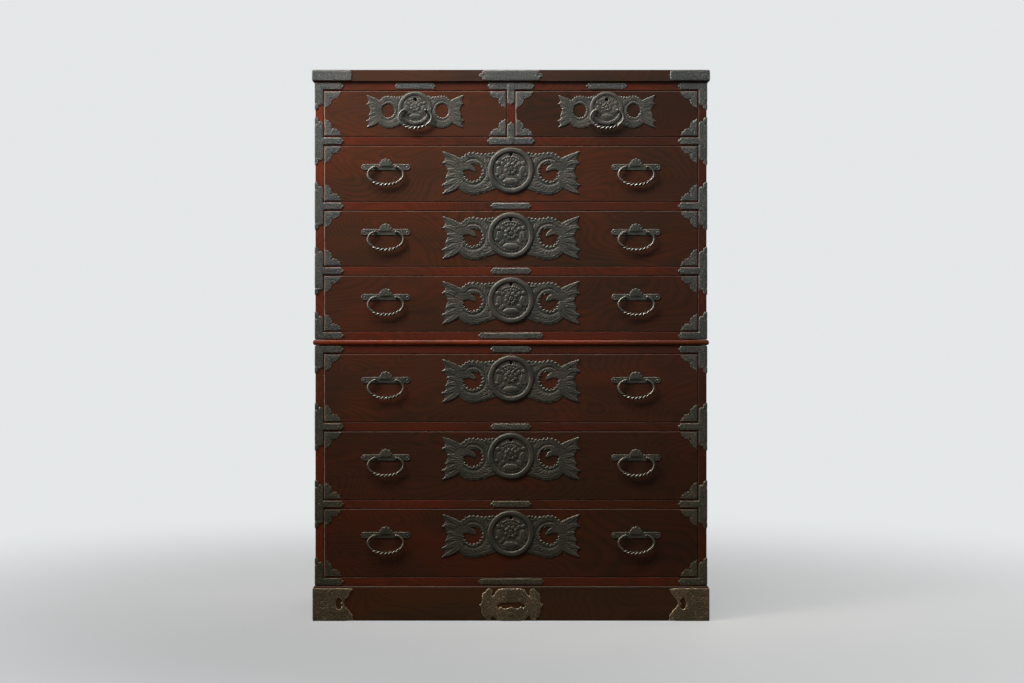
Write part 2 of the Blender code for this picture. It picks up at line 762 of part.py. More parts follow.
def corner_iron(x, z, across, up):
    """An angle iron in a drawer front's corner; across and up point into the front."""
    leg = DRAWER_CORNER_LEG
    width = DRAWER_CORNER_WIDTH
    loop = [(0, 0), (leg, 0), (leg - width, width), (2 * width, width), (width, 2 * width)]
    loop += [(width, leg - width), (0, leg)]
    outline = [(x + across * u, z + up * v) for u, v in loop]
    thickness = DRAWER_CORNER_THICKNESS
    return plate("corner_iron", [outline], thickness + IRON_SINK, -thickness)


def build_front(name, width, height, handles):
    """A drawer front with its iron, rebated behind for the tray and the lock."""
    half = width / 2 - RUNNING_GAP
    top = height - DRAWER_TOP_GAP
    foot = FRONT_FOOT_GAP
    board = box(name, (-half, 0, foot), (half, FRONT_THICKNESS, top))
    irons = [
        corner_iron(way * half, level, -way, up)
        for way in (-1, 1)
        for level, up in ((foot, 1), (top, -1))
    ]
    holes = []
    z = top - HANDLE_DROP_SHARE * height
    for x in handles:
        irons += handle_plate(x, z) + eye_posts(x, z, POST_SPREAD, SEAT_GAP)
        holes += post_holes(x, z, POST_SPREAD)
    side = TRAY_WALL + SEAT_GAP
    out = half + CUT_OVERRUN
    below = foot - CUT_OVERRUN
    behind = FRONT_THICKNESS + CUT_OVERRUN
    above = top + CUT_OVERRUN
    cuts = [
        box("end_rebate", (-out, FRONT_LIP, below), (side - half, behind, above)),
        box("end_rebate", (half - side, FRONT_LIP, below), (out, behind, above)),
        box("foot_rebate", (-out, FRONT_LIP, below), (out, behind, SEAT_GAP + TRAY_FLOOR + SEAT_GAP)),
        box(
            "lock_recess",
            (-LOCK_CASE_WIDTH / 2 - SEAT_GAP, FRONT_LIP, top - LOCK_CASE_LENGTH - 2 * SEAT_GAP),
            (LOCK_CASE_WIDTH / 2 + SEAT_GAP, behind, above),
        ),
        rod(
            "key_hole",
            KEY_TUBE_RADIUS + SEAT_GAP,
            (0, -CUT_OVERRUN, height - KEYHOLE_DROP),
            (0, FRONT_LIP + CUT_OVERRUN, height - KEYHOLE_DROP),
        ),
    ]
    combine(board, irons, holes + cuts)
    return finish(board, "drawer_front")


def build_tray(name, width, height):
    """The drawer's sides, back and floor in one piece."""
    half = width / 2 - RUNNING_GAP
    head = height - DRAWER_TOP_GAP - TRAY_HEAD_ROOM
    start = FRONT_LIP + SEAT_GAP
    end = CASE_DEPTH - BACK_THICKNESS - DRAWER_BACK_GAP
    tray = box(name, (-half, start, SEAT_GAP), (half, end, head))
    well = box(
        "well",
        (TRAY_WALL - half, start - CUT_OVERRUN, SEAT_GAP + TRAY_FLOOR),
        (half - TRAY_WALL, end - TRAY_WALL, head + CUT_OVERRUN),
    )
    combine(tray, cut=[well])
    return finish(tray, "drawer_tray")


def build_bolt(name, height):
    """A lock's bolt, lowered, with its top just under the front's top edge."""
    head = height - DRAWER_TOP_GAP - SEAT_GAP
    half = BOLT_WIDTH / 2
    bolt = box(name, (-half, BOLT_Y, head - BOLT_LENGTH), (half, BOLT_Y + BOLT_THICKNESS, head))
    return finish(bolt, "bolt")


def build_lock(name, height, scroll, medallion, bail_level=None):
    """Pierced plate, medallion, key tube and lock case in one piece, slotted for the bolt."""
    drop, half_length, half_height = scroll
    medallion_drop, radius, rise = medallion
    top = height - DRAWER_TOP_GAP
    z = height - drop
    half = scaled(SCROLL_OUTLINE_SHARES, half_length, half_height, 0, z)
    loops = [mirrored_loop(half)]
    for way in (-1, 1):
        loops.append(
            ellipse(
                way * SCROLL_HOLE_CENTRE_SHARE * half_length,
                z + SCROLL_HOLE_RISE_SHARE * half_height,
                SCROLL_HOLE_WIDTH_SHARE * half_length,
                SCROLL_HOLE_HEIGHT_SHARE * half_height,
                HOLE_SIDES,
            )
        )
    back = -SEAT_GAP
    lock = plate(name, loops, LOCK_PLATE_THICKNESS, back - LOCK_PLATE_THICKNESS)
    profile = scaled(MEDALLION_PROFILE_SHARES, radius, rise)
    centre = (0, height - medallion_drop)
    case_top = top - SEAT_GAP
    case_low = case_top - LOCK_CASE_LENGTH
    case_y = FRONT_LIP + SEAT_GAP
    key_z = height - KEYHOLE_DROP
    joined = [
        turned("medallion", profile, centre, back - SEAT_GAP),
        box(
            "lock_case",
            (-LOCK_CASE_WIDTH / 2, case_y, case_low),
            (LOCK_CASE_WIDTH / 2, FRONT_THICKNESS, case_top),
        ),
        rod(
            "key_tube",
            KEY_TUBE_RADIUS,
            (0, back - LOCK_PLATE_THICKNESS / 2, key_z),
            (0, case_y + BOLT_WALL / 2, key_z),
        ),
    ]
    slot_half = BOLT_WIDTH / 2 + BOLT_CLEARANCE
    cuts = [
        box(
            "bolt_slot",
            (-slot_half, BOLT_Y - BOLT_CLEARANCE, case_top - BOLT_LENGTH - SEAT_GAP),
            (slot_half, BOLT_Y + BOLT_THICKNESS + BOLT_CLEARANCE, case_top + CUT_OVERRUN),
        ),
        rod(
            "keyhole",
            KEYHOLE_RADIUS,
            (0, -rise - CUT_OVERRUN, key_z),
            (0, BOLT_Y, key_z),
            ROUND_END_SEGMENTS,
        ),
    ]
    if bail_level is not None:
        joined += eye_posts(0, bail_level, POST_SPREAD, back - LOCK_PLATE_THICKNESS / 2)
        cuts += post_holes(0, bail_level, POST_SPREAD)
    combine(lock, joined, cuts)
    return finish(lock, "lock", smooth=True)


# Levels of the cases' rails and openings
LOWER_LEVELS = levels(
    PLINTH_HEIGHT,
    [LOWER_RAIL_HEIGHT, LOWER_OPENING_HEIGHT] * LOWER_DRAWERS + [LOWER_HEAD_RAIL_HEIGHT],
)
UPPER_LEVELS = levels(
    LOWER_LEVELS[-1] + WAIST_HEIGHT,
    [UPPER_FOOT_RAIL_HEIGHT, UPPER_OPENING_HEIGHT]
    + [UPPER_RAIL_HEIGHT, UPPER_OPENING_HEIGHT] * (UPPER_DRAWERS - 1)
    + [UPPER_RAIL_HEIGHT, SMALL_OPENING_HEIGHT, UPPER_RAIL_HEIGHT],
)
lower_rails = list(zip(LOWER_LEVELS[0::2], LOWER_LEVELS[1::2]))
upper_rails = list(zip(UPPER_LEVELS[0::2], UPPER_LEVELS[1::2]))
large_width = 2 * INNER_HALF_WIDTH
small_width = INNER_HALF_WIDTH - CENTRE_POST_WIDTH / 2
small_centre = (INNER_HALF_WIDTH + CENTRE_POST_WIDTH / 2) / 2


def drawer_places():
    """Name, middle, foot and height of the opening, and width of each drawer, from the top down."""
    foot, head = UPPER_LEVELS[-3], UPPER_LEVELS[-2]
    places = [
        ("small_left", -small_centre, foot, head - foot, small_width),
        ("small_right", small_centre, foot, head - foot, small_width),
    ]
    rows = (("upper", UPPER_DRAWERS, UPPER_LEVELS), ("lower", LOWER_DRAWERS, LOWER_LEVELS))
    for row, count, stack in rows:
        for index in range(count):
            opening = 2 * (count - index) - 1
            foot = stack[opening]
            height = stack[opening + 1] - foot
            places.append((f"{row}_{index + 1}", 0, foot, height, large_width))
    return places


def drawer_pieces(height, width, small):
    """The pieces of one size of drawer, each with the place of its origin in the drawer."""
    spread = () if small else (-HANDLE_SPREAD, HANDLE_SPREAD)
    if small:
        scroll = (SMALL_SCROLL_DROP, SMALL_SCROLL_HALF_LENGTH, SMALL_SCROLL_HALF_HEIGHT)
        medallion = (SMALL_MEDALLION_DROP, SMALL_MEDALLION_RADIUS, SMALL_MEDALLION_HEIGHT)
        bail_level = height - SMALL_BAIL_DROP_FROM_TOP
        bails = {"bail": (build_bail("small_bail_shape", SMALL_BAIL_HALF_WIDTH), 0)}
    else:
        scroll = (SCROLL_DROP, SCROLL_HALF_LENGTH, SCROLL_HALF_HEIGHT)
        medallion = (MEDALLION_DROP, MEDALLION_RADIUS, MEDALLION_HEIGHT)
        bail_level = None
        shape = build_bail("bail_shape", LARGE_BAIL_HALF_WIDTH)
        bails = {"bail_left": (shape, -HANDLE_SPREAD), "bail_right": (shape, HANDLE_SPREAD)}
    bail_z = bail_level
    if bail_z is None:
        bail_z = height - DRAWER_TOP_GAP - HANDLE_DROP_SHARE * height
    pieces = {
        "front": (build_front("front_shape", width, height, spread), (0, 0, 0)),
        "tray": (build_tray("tray_shape", width, height), (0, 0, 0)),
        "lock": (build_lock("lock_shape", height, scroll, medallion, bail_level), (0, 0, 0)),
        "bolt": (build_bolt("bolt_shape", height), (0, 0, 0)),
    }
    for key, (shape, x) in bails.items():
        pieces[key] = (shape, (x, -BAIL_STANDOFF, bail_z))
    return pieces


clear_scene()
parts = new_collection("clothing_tansu")
cutters = new_collection("cutters")
materials = {name: make_material(name) for name in FINISHES}

# The two cases
build_plinth()
build_plinth_corner("base_left_corner_iron", -1)
build_plinth_corner("base_right_corner_iron", 1)
build_plinth_centre()
build_waist(LOWER_LEVELS[-1])

lower_straps = [rail_strap("foot_strap", FOOT_STRAP_LENGTH, *lower_rails[0])]
lower_straps += [rail_strap("strap", RAIL_STRAP_LENGTH, *rail) for rail in lower_rails[1:-1]]
lower_straps.append(rail_strap("head_strap", RAIL_STRAP_LENGTH, *lower_rails[-1]))
build_shelf_frame(
    "lower_shelf_frame", lower_rails, False, lower_straps, [(0, low) for low, _ in lower_rails[1:]]
)
build_side("lower_left_side", lower_rails, False, -1)
build_side("lower_right_side", lower_rails, False, 1)

upper_straps = [rail_strap("foot_strap", FOOT_STRAP_LENGTH, *upper_rails[0])]
upper_straps += [rail_strap("strap", RAIL_STRAP_LENGTH, *rail) for rail in upper_rails[1:-2]]
upper_straps += [
    rail_strap("head_strap", RAIL_STRAP_LENGTH, *upper_rails[-1], way * small_centre) for way in (-1, 1)
]
upper_mortises = [(0, low) for low, _ in upper_rails[1:-1]]
upper_mortises += [(way * small_centre, upper_rails[-1][0]) for way in (-1, 1)]
upper_parts = [
    build_shelf_frame("upper_shelf_frame", upper_rails, True, upper_straps, upper_mortises),
    build_side("upper_left_side", upper_rails, True, -1),
    build_side("upper_right_side", upper_rails, True, 1),
    build_partition(upper_rails[-2][1], upper_rails[-1][0], upper_rails[-2], upper_rails[-1]),
    build_top_board(UPPER_LEVELS[-1]),
]
upper_case = group("upper_case", (0, 0, 0))
for part in upper_parts:
    part.parent = upper_case

# The drawers
shapes = {}
for name, x, foot, height, width in drawer_places():
    small = width < large_width
    size = (round(height / SEAT_GAP), small)
    if size not in shapes:
        shapes[size] = drawer_pieces(height, width, small)
    parent = upper_case if not name.startswith("lower") else None
    drawer = group(f"{name}_drawer", (x, FRONT_Y, foot), parent)
    for key, (shape, place) in shapes[size].items():
        copy_of(shape, f"{name}_{key}", place, drawer)
for pieces in shapes.values():
    for shape in {shape for shape, place in pieces.values()}:
        bpy.data.objects.remove(shape)
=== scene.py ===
"""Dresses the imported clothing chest: lacquered boards, chased iron plates and twisted bails."""

import math

import bmesh
import bpy
import numpy as np
from bpy.props import FloatProperty, FloatVectorProperty, IntProperty, PointerProperty
from mathutils import Matrix, Vector
from mathutils.geometry import tessellate_polygon


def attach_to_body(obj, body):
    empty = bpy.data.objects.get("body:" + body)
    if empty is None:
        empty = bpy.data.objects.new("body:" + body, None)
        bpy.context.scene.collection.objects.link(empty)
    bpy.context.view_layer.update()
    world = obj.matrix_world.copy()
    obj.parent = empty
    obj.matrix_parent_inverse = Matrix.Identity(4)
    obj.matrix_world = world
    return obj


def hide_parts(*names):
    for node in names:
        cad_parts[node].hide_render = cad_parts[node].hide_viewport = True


bl_info = {
    "name": "Clothing Tansu",
    "version": (1, 0, 0),
    "blender": (4, 5, 0),
    "location": "View3D > Sidebar > Tansu",
    "description": "Dresses a two-case clothing chest around its packed CAD frame",
    "category": "Object",
}

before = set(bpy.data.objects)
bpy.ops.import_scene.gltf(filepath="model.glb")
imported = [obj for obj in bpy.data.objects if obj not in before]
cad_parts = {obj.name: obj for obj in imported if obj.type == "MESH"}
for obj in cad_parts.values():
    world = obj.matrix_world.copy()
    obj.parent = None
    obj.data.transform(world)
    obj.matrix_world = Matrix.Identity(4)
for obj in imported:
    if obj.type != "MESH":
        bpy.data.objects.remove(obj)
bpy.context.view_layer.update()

MM = 0.001
FORWARD = (0, -1, 0)
SIDES = ((-1, "left"), (1, "right"))

# The frame's own sizes, in metres
CASE_WIDTH = 1.060
CASE_DEPTH = 0.450
SIDE_THICKNESS = 0.022
BACK_THICKNESS = 0.008
SHELF_THICKNESS = 0.008
RAIL_DEPTH = 0.030
CENTRE_POST_WIDTH = 0.022
PLINTH_HEIGHT = 0.094
LOWER_RAIL_HEIGHT = 0.023
LOWER_OPENING_HEIGHT = 0.187
LOWER_HEAD_RAIL_HEIGHT = 0.022
WAIST_HEIGHT = 0.015
UPPER_FOOT_RAIL_HEIGHT = 0.022
UPPER_OPENING_HEIGHT = 0.153
UPPER_RAIL_HEIGHT = 0.023
SMALL_OPENING_HEIGHT = 0.126
TOP_BOARD_HEIGHT = 0.032
PLINTH_PROJECTION = 0.005
PLINTH_WALL = 0.022
WAIST_PROJECTION = 0.006
TOP_OVERHANG = 0.0066
FRONT_THICKNESS = 0.020
FRONT_LIP = 0.008
FRONT_FOOT_GAP = 0.0008
TRAY_WALL = 0.010
TRAY_FLOOR = 0.008
TRAY_HEAD_ROOM = 0.004
RUNNING_GAP = 0.0010
DRAWER_TOP_GAP = 0.0012
DRAWER_BACK_GAP = 0.006
SEAT_GAP = 0.0003
IRON_THICKNESS = 0.002
SIDE_WRAP = 0.045
RAIL_IRON_LENGTH = 0.077
RAIL_IRON_HEIGHT = 0.0185
STILE_IRON_REACH = 0.065
CENTRE_IRON_LENGTH = 0.129
CENTRE_IRON_LEG = 0.055
RAIL_STRAP_LENGTH = 0.111
RAIL_STRAP_HEIGHT = 0.0165
FOOT_STRAP_LENGTH = 0.177
TOP_STRAP_LENGTH = 0.173
TOP_CORNER_LENGTH = 0.109
TOP_WRAP = 0.060
DRAWER_CORNER_LEG = 0.046
PLINTH_CORNER_LENGTH = 0.110
PLINTH_WRAP = 0.060
PLINTH_IRON_HEIGHT = 0.0885
PLINTH_CENTRE_LENGTH = 0.173
HANDLE_SPREAD = 0.339
HANDLE_DROP_SHARE = 0.382
POST_SPREAD = 0.029
POST_WIDTH = 0.006
POST_CAP = 0.0048
BAIL_STANDOFF = 0.011
BAIL_PIN_DIAMETER = 0.005
BAIL_PIN_END = 0.001
BAIL_DROP = 0.048
BAIL_SHOULDER_DROP = 0.019
LARGE_BAIL_HALF_WIDTH = 0.048
SMALL_BAIL_HALF_WIDTH = 0.0445
PIN_CLEARANCE = 0.0004
MEDALLION_DROP = 0.068
SMALL_MEDALLION_DROP = 0.049
SMALL_BAIL_DROP_FROM_TOP = 0.055
KEYHOLE_DROP = 0.025
KEY_TUBE_RADIUS = 0.006
LOCK_CASE_WIDTH = 0.060
LOCK_CASE_LENGTH = 0.066
BOLT_WIDTH = 0.024
BOLT_THICKNESS = 0.0078
BOLT_LENGTH = 0.045
BOLT_WALL = 0.0012
BOLT_TRAVEL = 0.008
BOLT_CLEARANCE = 0.0003
BOLT_Y = FRONT_LIP + SEAT_GAP + BOLT_WALL
FRONT_Y = (BAIL_STANDOFF + POST_CAP - CASE_DEPTH) / 2
BACK_Y = FRONT_Y + CASE_DEPTH
PANEL_Y = BACK_Y - BACK_THICKNESS
EDGE_X = CASE_WIDTH / 2
INNER_X = EDGE_X - SIDE_THICKNESS
RAIL_Y = FRONT_Y + 0.0005


def levels(start, heights):
    """Where each of a stack of heights starts and ends."""
    found = [start]
    for height in heights:
        found.append(found[-1] + height)
    return found


LOWER_LEVELS = levels(
    PLINTH_HEIGHT, [LOWER_RAIL_HEIGHT, LOWER_OPENING_HEIGHT] * 3 + [LOWER_HEAD_RAIL_HEIGHT]
)
UPPER_LEVELS = levels(
    LOWER_LEVELS[-1] + WAIST_HEIGHT,
    [UPPER_FOOT_RAIL_HEIGHT, UPPER_OPENING_HEIGHT]
    + [UPPER_RAIL_HEIGHT, UPPER_OPENING_HEIGHT] * 2
    + [UPPER_RAIL_HEIGHT, SMALL_OPENING_HEIGHT, UPPER_RAIL_HEIGHT],
)
CASES = {
    "lower": list(zip(LOWER_LEVELS[0::2], LOWER_LEVELS[1::2])),
    "upper": list(zip(UPPER_LEVELS[0::2], UPPER_LEVELS[1::2])),
}
LARGE_WIDTH = 2 * INNER_X
SMALL_WIDTH = INNER_X - CENTRE_POST_WIDTH / 2
SMALL_CENTRE = (INNER_X + CENTRE_POST_WIDTH / 2) / 2


def drawer_places():
    """Name, middle, foot and height of the opening, and width of each drawer."""
    foot, head = UPPER_LEVELS[-3], UPPER_LEVELS[-2]
    places = [
        ("small_left", -SMALL_CENTRE, foot, head - foot, SMALL_WIDTH),
        ("small_right", SMALL_CENTRE, foot, head - foot, SMALL_WIDTH),
    ]
    for row, stack in (("upper", UPPER_LEVELS), ("lower", LOWER_LEVELS)):
        for index in range(3):
            foot, head = stack[5 - 2 * index], stack[6 - 2 * index]
            places.append((f"{row}_{index + 1}", 0.0, foot, head - foot, LARGE_WIDTH))
    return places


DRAWERS = drawer_places()

# The photograph's camera
CAMERA_DISTANCE = 4.602
CAMERA_HEIGHT = 0.7564
CAMERA_X = 0.0027
CAMERA_LENS = 59.7
BACKDROP = (0.78, 0.80, 0.81, 1)
FLOOR_BOUNCE = (0.10, 0.075, 0.05, 1)


# Sizes and colours that a user would change


def swatch(name, description, default):
    return FloatVectorProperty(
        name=name, description=description, subtype="COLOR", size=3, min=0, max=1, default=default
    )


class TansuSizes(bpy.types.PropertyGroup):
    """Sizes of the finish, which leave the chest's own dimensions as they are."""

    board_round: FloatProperty(
        name="Board edge rounding", description="Radius worked on the arrises of the boards",
        default=0.0010, min=0.0002, max=0.003, unit="LENGTH",
    )
    front_round: FloatProperty(
        name="Drawer edge rounding", description="Radius round the drawer fronts",
        default=0.0026, min=0.0002, max=0.004, unit="LENGTH",
    )
    nail_radius: FloatProperty(
        name="Nail head radius", description="Radius of the iron nail heads",
        default=0.0017, min=0.0005, max=0.004, unit="LENGTH",
    )
    ring_count: FloatProperty(
        name="Growth rings", description="How many rings show over one rise of the figure",
        default=44.0, min=4.0, max=120.0,
    )
    grip_strands: IntProperty(
        name="Grip strands", description="Strands in the twisted grip of a bail",
        default=2, min=2, max=6,
    )
    key_power: FloatProperty(
        name="Key light", description="Power of the large soft light at the upper left",
        default=9.5, min=0.0, max=2000.0, unit="POWER",
    )


class TansuColours(bpy.types.PropertyGroup):
    """Base colours of the finishes."""

    front: swatch("Drawer fronts", "Lacquer over the fronts' wood", (0.104, 0.0265, 0.0102))
    front_rings: swatch("Front rings", "Dark rings in the fronts", (0.046, 0.0200, 0.0088))
    case: swatch("Carcass wood", "Lacquer over rails and sides", (0.122, 0.0240, 0.0088))
    case_rings: swatch("Carcass rings", "Dark rings in rails and sides", (0.066, 0.0175, 0.0070))
    plinth: swatch("Plinth", "Lacquer over the plinth", (0.0736, 0.0285, 0.0097))
    top: swatch("Top board", "Lacquer over the top board", (0.059, 0.0305, 0.0205))
    tray: swatch("Drawer trays", "Bare paulownia of the trays", (0.520, 0.380, 0.240))
    iron: swatch("Iron", "Oiled iron of the plates", (0.1376, 0.1416, 0.1392))
    iron_deep: swatch("Iron in the hollows", "Iron where dirt lies", (0.034, 0.034, 0.030))
    iron_worn: swatch("Worn iron", "Rubbed high places of the iron", (0.3740, 0.3655, 0.3400))
    floor: swatch("Floor", "Studio floor", (0.62, 0.60, 0.57))


# Meshes


# How far a cutting tool reaches past the wood that it cuts
PAST = 0.002


def mesh_object(name, mesh):
    piece = bpy.data.objects.new(name, mesh)
    bpy.context.scene.collection.objects.link(piece)
    return piece


def mesh_of(name, shape):
    """A mesh from a bmesh, which is let go."""
    mesh = bpy.data.meshes.new(name)
    shape.to_mesh(mesh)
    shape.free()
    return mesh


def join_shape(shape, part):
    """Adds one bmesh to another, and lets it go."""
    mesh = mesh_of("part", part)
    shape.from_mesh(mesh)
    bpy.data.meshes.remove(mesh)


def write_values(mesh, name, values, domain="POINT", kind="FLOAT"):
    """Stores a number or a vector for each point or face of a mesh."""
    layer = mesh.attributes.get(name) or mesh.attributes.new(name, kind, domain)
    field = "value" if kind == "FLOAT" else "vector"
    layer.data.foreach_set(field, np.asarray(values, np.float32).ravel())


def array_mesh(name, points, triangles):
    """A mesh of triangles from arrays."""
    mesh = bpy.data.meshes.new(name)
    mesh.vertices.add(len(points))
    mesh.vertices.foreach_set("co", np.asarray(points, np.float32).ravel())
    mesh.loops.add(3 * len(triangles))
    mesh.loops.foreach_set("vertex_index", np.asarray(triangles, np.int32).ravel())
    mesh.polygons.add(len(triangles))
    mesh.polygons.foreach_set("loop_start", np.arange(0, 3 * len(triangles), 3, dtype=np.int32))
    mesh.update(calc_edges=True)
    mesh.validate()
    return mesh


def shade(mesh, degrees=35):
    """Smooth shading that breaks at edges sharper than the angle."""
    mesh.shade_smooth()
    mesh.set_sharp_from_angle(angle=math.radians(degrees))


def baked(piece):
    """Makes the piece's modifiers plain mesh, and removes the shapes that they used."""
    bpy.context.view_layer.update()
    graph = bpy.context.evaluated_depsgraph_get()
    mesh = bpy.data.meshes.new_from_object(piece.evaluated_get(graph))
    tools = [m.object for m in piece.modifiers if m.type == "BOOLEAN"]
    piece.modifiers.clear()
    old, piece.data = piece.data, mesh
    bpy.data.meshes.remove(old)
    for tool in tools:
        bpy.data.objects.remove(tool)
    return piece


# A face belongs to a broad side of a board where its normal is this near an axis
BROAD_SIDE = 0.985
# Pale arrises: the real wear that all have, and a painted highlight added on the ones that face
# the window at the left
ARRIS_WEAR = 0.14
ARRIS_HIGHLIGHT_LEFT = 2.8


def planed(piece, wear=1.0):
    """Shades the arrises round, marks their wear with a painted highlight on those that face left,
    and keeps the broad faces beside them flat.
    """
    mesh = piece.data
    shade(mesh)
    normals = np.empty(3 * len(mesh.polygons), np.float32)
    mesh.polygons.foreach_get("normal", normals)
    normals = normals.reshape(-1, 3)
    rounded = np.abs(normals).max(1) < BROAD_SIDE
    # Real wear on every arris, plus a painted highlight that grows the further an arris faces left
    worn = wear * rounded * np.clip(ARRIS_WEAR - ARRIS_HIGHLIGHT_LEFT * normals[:, 0], 0, 3)
    write_values(mesh, "arris_wear_and_highlight", worn, "FACE")
    modifier = piece.modifiers.new("planed", "WEIGHTED_NORMAL")
    modifier.keep_sharp = True
    return baked(piece)


def cut_from(piece, tools, operation="DIFFERENCE"):
    """Cuts the tools out of a piece, or joins them to it."""
    for tool in tools:
        modifier = piece.modifiers.new(tool.name, "BOOLEAN")
        modifier.operation = operation
        modifier.solver = "EXACT"
        modifier.object = tool
    return baked(piece)


def block(name, low, high, radius=0.0, segments=2):
    """A box between two corners, its edges rounded."""
    return mesh_object(name, mesh_of(name, rounded_box(low, high, radius, segments)))


def rounded_box(low, high, radius, segments=2, chosen=None):
    """A box as a bmesh, with all its edges rounded or only the chosen ones."""
    low, high = Vector(low), Vector(high)
    shape = bmesh.new()
    matrix = Matrix.Translation((low + high) / 2) @ Matrix.Diagonal(high - low).to_4x4()
    bmesh.ops.create_cube(shape, size=1, matrix=matrix)
    edges = [edge for edge in shape.edges if chosen is None or chosen(edge)]
    if radius:
        bmesh.ops.bevel(
            shape, geom=edges, offset=radius, segments=segments, affect="EDGES", profile=0.5
        )
    return shape


def cylinder(name, radius, start, end, sides=24):
    """A round bar between two points."""
    start, end = Vector(start), Vector(end)
    turn = (end - start).to_track_quat("Z", "Y").to_matrix().to_4x4()
    shape = bmesh.new()
    bmesh.ops.create_cone(
        shape, cap_ends=True, segments=sides, radius1=radius, radius2=radius,
        depth=(end - start).length, matrix=Matrix.Translation((start + end) / 2) @ turn,
    )
    return mesh_object(name, mesh_of(name, shape))


# Along the grain, across the board and through it, for each way that a board can run
AXES = {"x": (0, 2, 1), "y": (1, 0, 2), "z": (2, 0, 1)}
# Painted light: how much lighter the wood is painted at the chest's left edge than at its middle,
# and darker towards its right
PAINTED_LIGHT_FADE = 0.26


def place_in_log(random):
    """How far from the others in the log a board is cut, so that its figure differs."""
    return Vector(random.uniform(-20, 20, 3))


def lay_grain(shape, along, offset, tone_and_painted_light):
    """Writes each vertex's place in the log and the tone of the wood there: the board's own tone
    times painted light that fades from the chest's left edge to its right.
    """
    layer = shape.verts.layers.float_vector.new("grain")
    painted_tone_layer = shape.verts.layers.float.new("tone_and_painted_light")
    order = AXES[along]
    for vert in shape.verts:
        vert[layer] = Vector([vert.co[axis] for axis in order]) + offset
        # Painted light: the tone is raised towards the chest's left edge and lowered towards its
        # right
        vert[painted_tone_layer] = tone_and_painted_light * (1 - PAINTED_LIGHT_FADE * vert.co.x / EDGE_X)


def grain_mesh(mesh, along, seed, tone_and_painted_light):
    """Gives a whole mesh the grain of one board."""
    shape = bmesh.new()
    shape.from_mesh(mesh)
    lay_grain(shape, along, place_in_log(np.random.default_rng(seed)), tone_and_painted_light)
    shape.to_mesh(mesh)
    shape.free()


class Boards:
    """Boards gathered into one mesh, each cut from its own place in a log."""

    def __init__(self, seed):
        self.shape = bmesh.new()
        self.random = np.random.default_rng(seed)

    def add(self, low, high, along, radius, tone_and_painted_light=1.0):
        self.take(rounded_box(low, high, radius), along, tone_and_painted_light)

    def take(self, part, along, tone_and_painted_light=1.0):
        place = place_in_log(self.random)
        lay_grain(part, along, place, tone_and_painted_light * self.random.uniform(0.9, 1.1))
        join_shape(self.shape, part)

    def piece(self, name, wear=0.3):
        return planed(mesh_object(name, mesh_of(name, self.shape)), wear)


def attach(piece, body, slot, *replaced):
    """Lets a piece ride on a body in place of the solids that it replaces."""
    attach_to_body(piece, body)
    if replaced:
        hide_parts(*replaced)


def dress(piece, body, slot, material, *replaced):
    """Gives a piece its finish and attaches it."""
    piece.data.materials.clear()
    piece.data.materials.append(material)
    attach(piece, body, slot, *replaced)


# Chased iron: a plate is worked as a field of heights on a grid, in millimetres

# How high a plate of the frame's iron stands when it is worked
IRON_RISE = 1000 * IRON_THICKNESS + 0.1
# The groove along a plate's border, how wide the rubbed rim is, and how much of an edge's height
# and how many rounds of softening the ground has that relief is measured from
BORDER_DEPTH = 0.3
BORDER_WIDTH = 0.55
RIM_WIDTH = 1.5
GROUND_SHARE = 0.35
GROUND_PASSES = 7


def smoothed(points, count):
    """Points spaced along a smooth open curve through the given ones."""
    points = np.array(points, float)
    places = np.linspace(0, len(points) - 1, count)
    index = np.minimum(places.astype(int), len(points) - 2)
    f = (places - index)[:, None]
    padded = np.vstack([2 * points[0] - points[1], points, 2 * points[-1] - points[-2]])
    a, b, c, d = (padded[index + k] for k in range(4))
    return 0.5 * (2 * b + (c - a) * f + (2 * a - 5 * b + 4 * c - d) * f**2
                  + (3 * b - a - 3 * c + d) * f**3)


def soften(field, passes):
    """Evens out a field of heights."""
    for _ in range(passes):
        padded = np.pad(field, 1, mode="edge")
        rows = (padded[:-2] + 2 * padded[1:-1] + padded[2:]) / 4
        field = (rows[:, :-2] + 2 * rows[:, 1:-1] + rows[:, 2:]) / 4
    return field


def bulge(inside):
    """A rounded rise from 0 at an edge to 1."""
    return np.sqrt(np.clip(inside, 0, 1))


def steps(low, high, step):
    """Grid lines at about the given step."""
    return np.linspace(low, high, max(2, round((high - low) / step) + 1))


def folded_steps(wrap, end, behind, ahead):
    """Grid lines for a plate folded at 0, which lie close together on the fold."""
    fold = (-1.2, -0.62, -0.3, 0.0, 0.3, 0.62)
    return np.concatenate([steps(wrap - 2.4, -2.4, behind), fold, steps(1.5, end, ahead)])


def both_halves(line):
    """A closed outline from its right half, which starts and ends on the middle line."""
    return [(-u, v) for u, v in reversed(line) if u] + list(line)


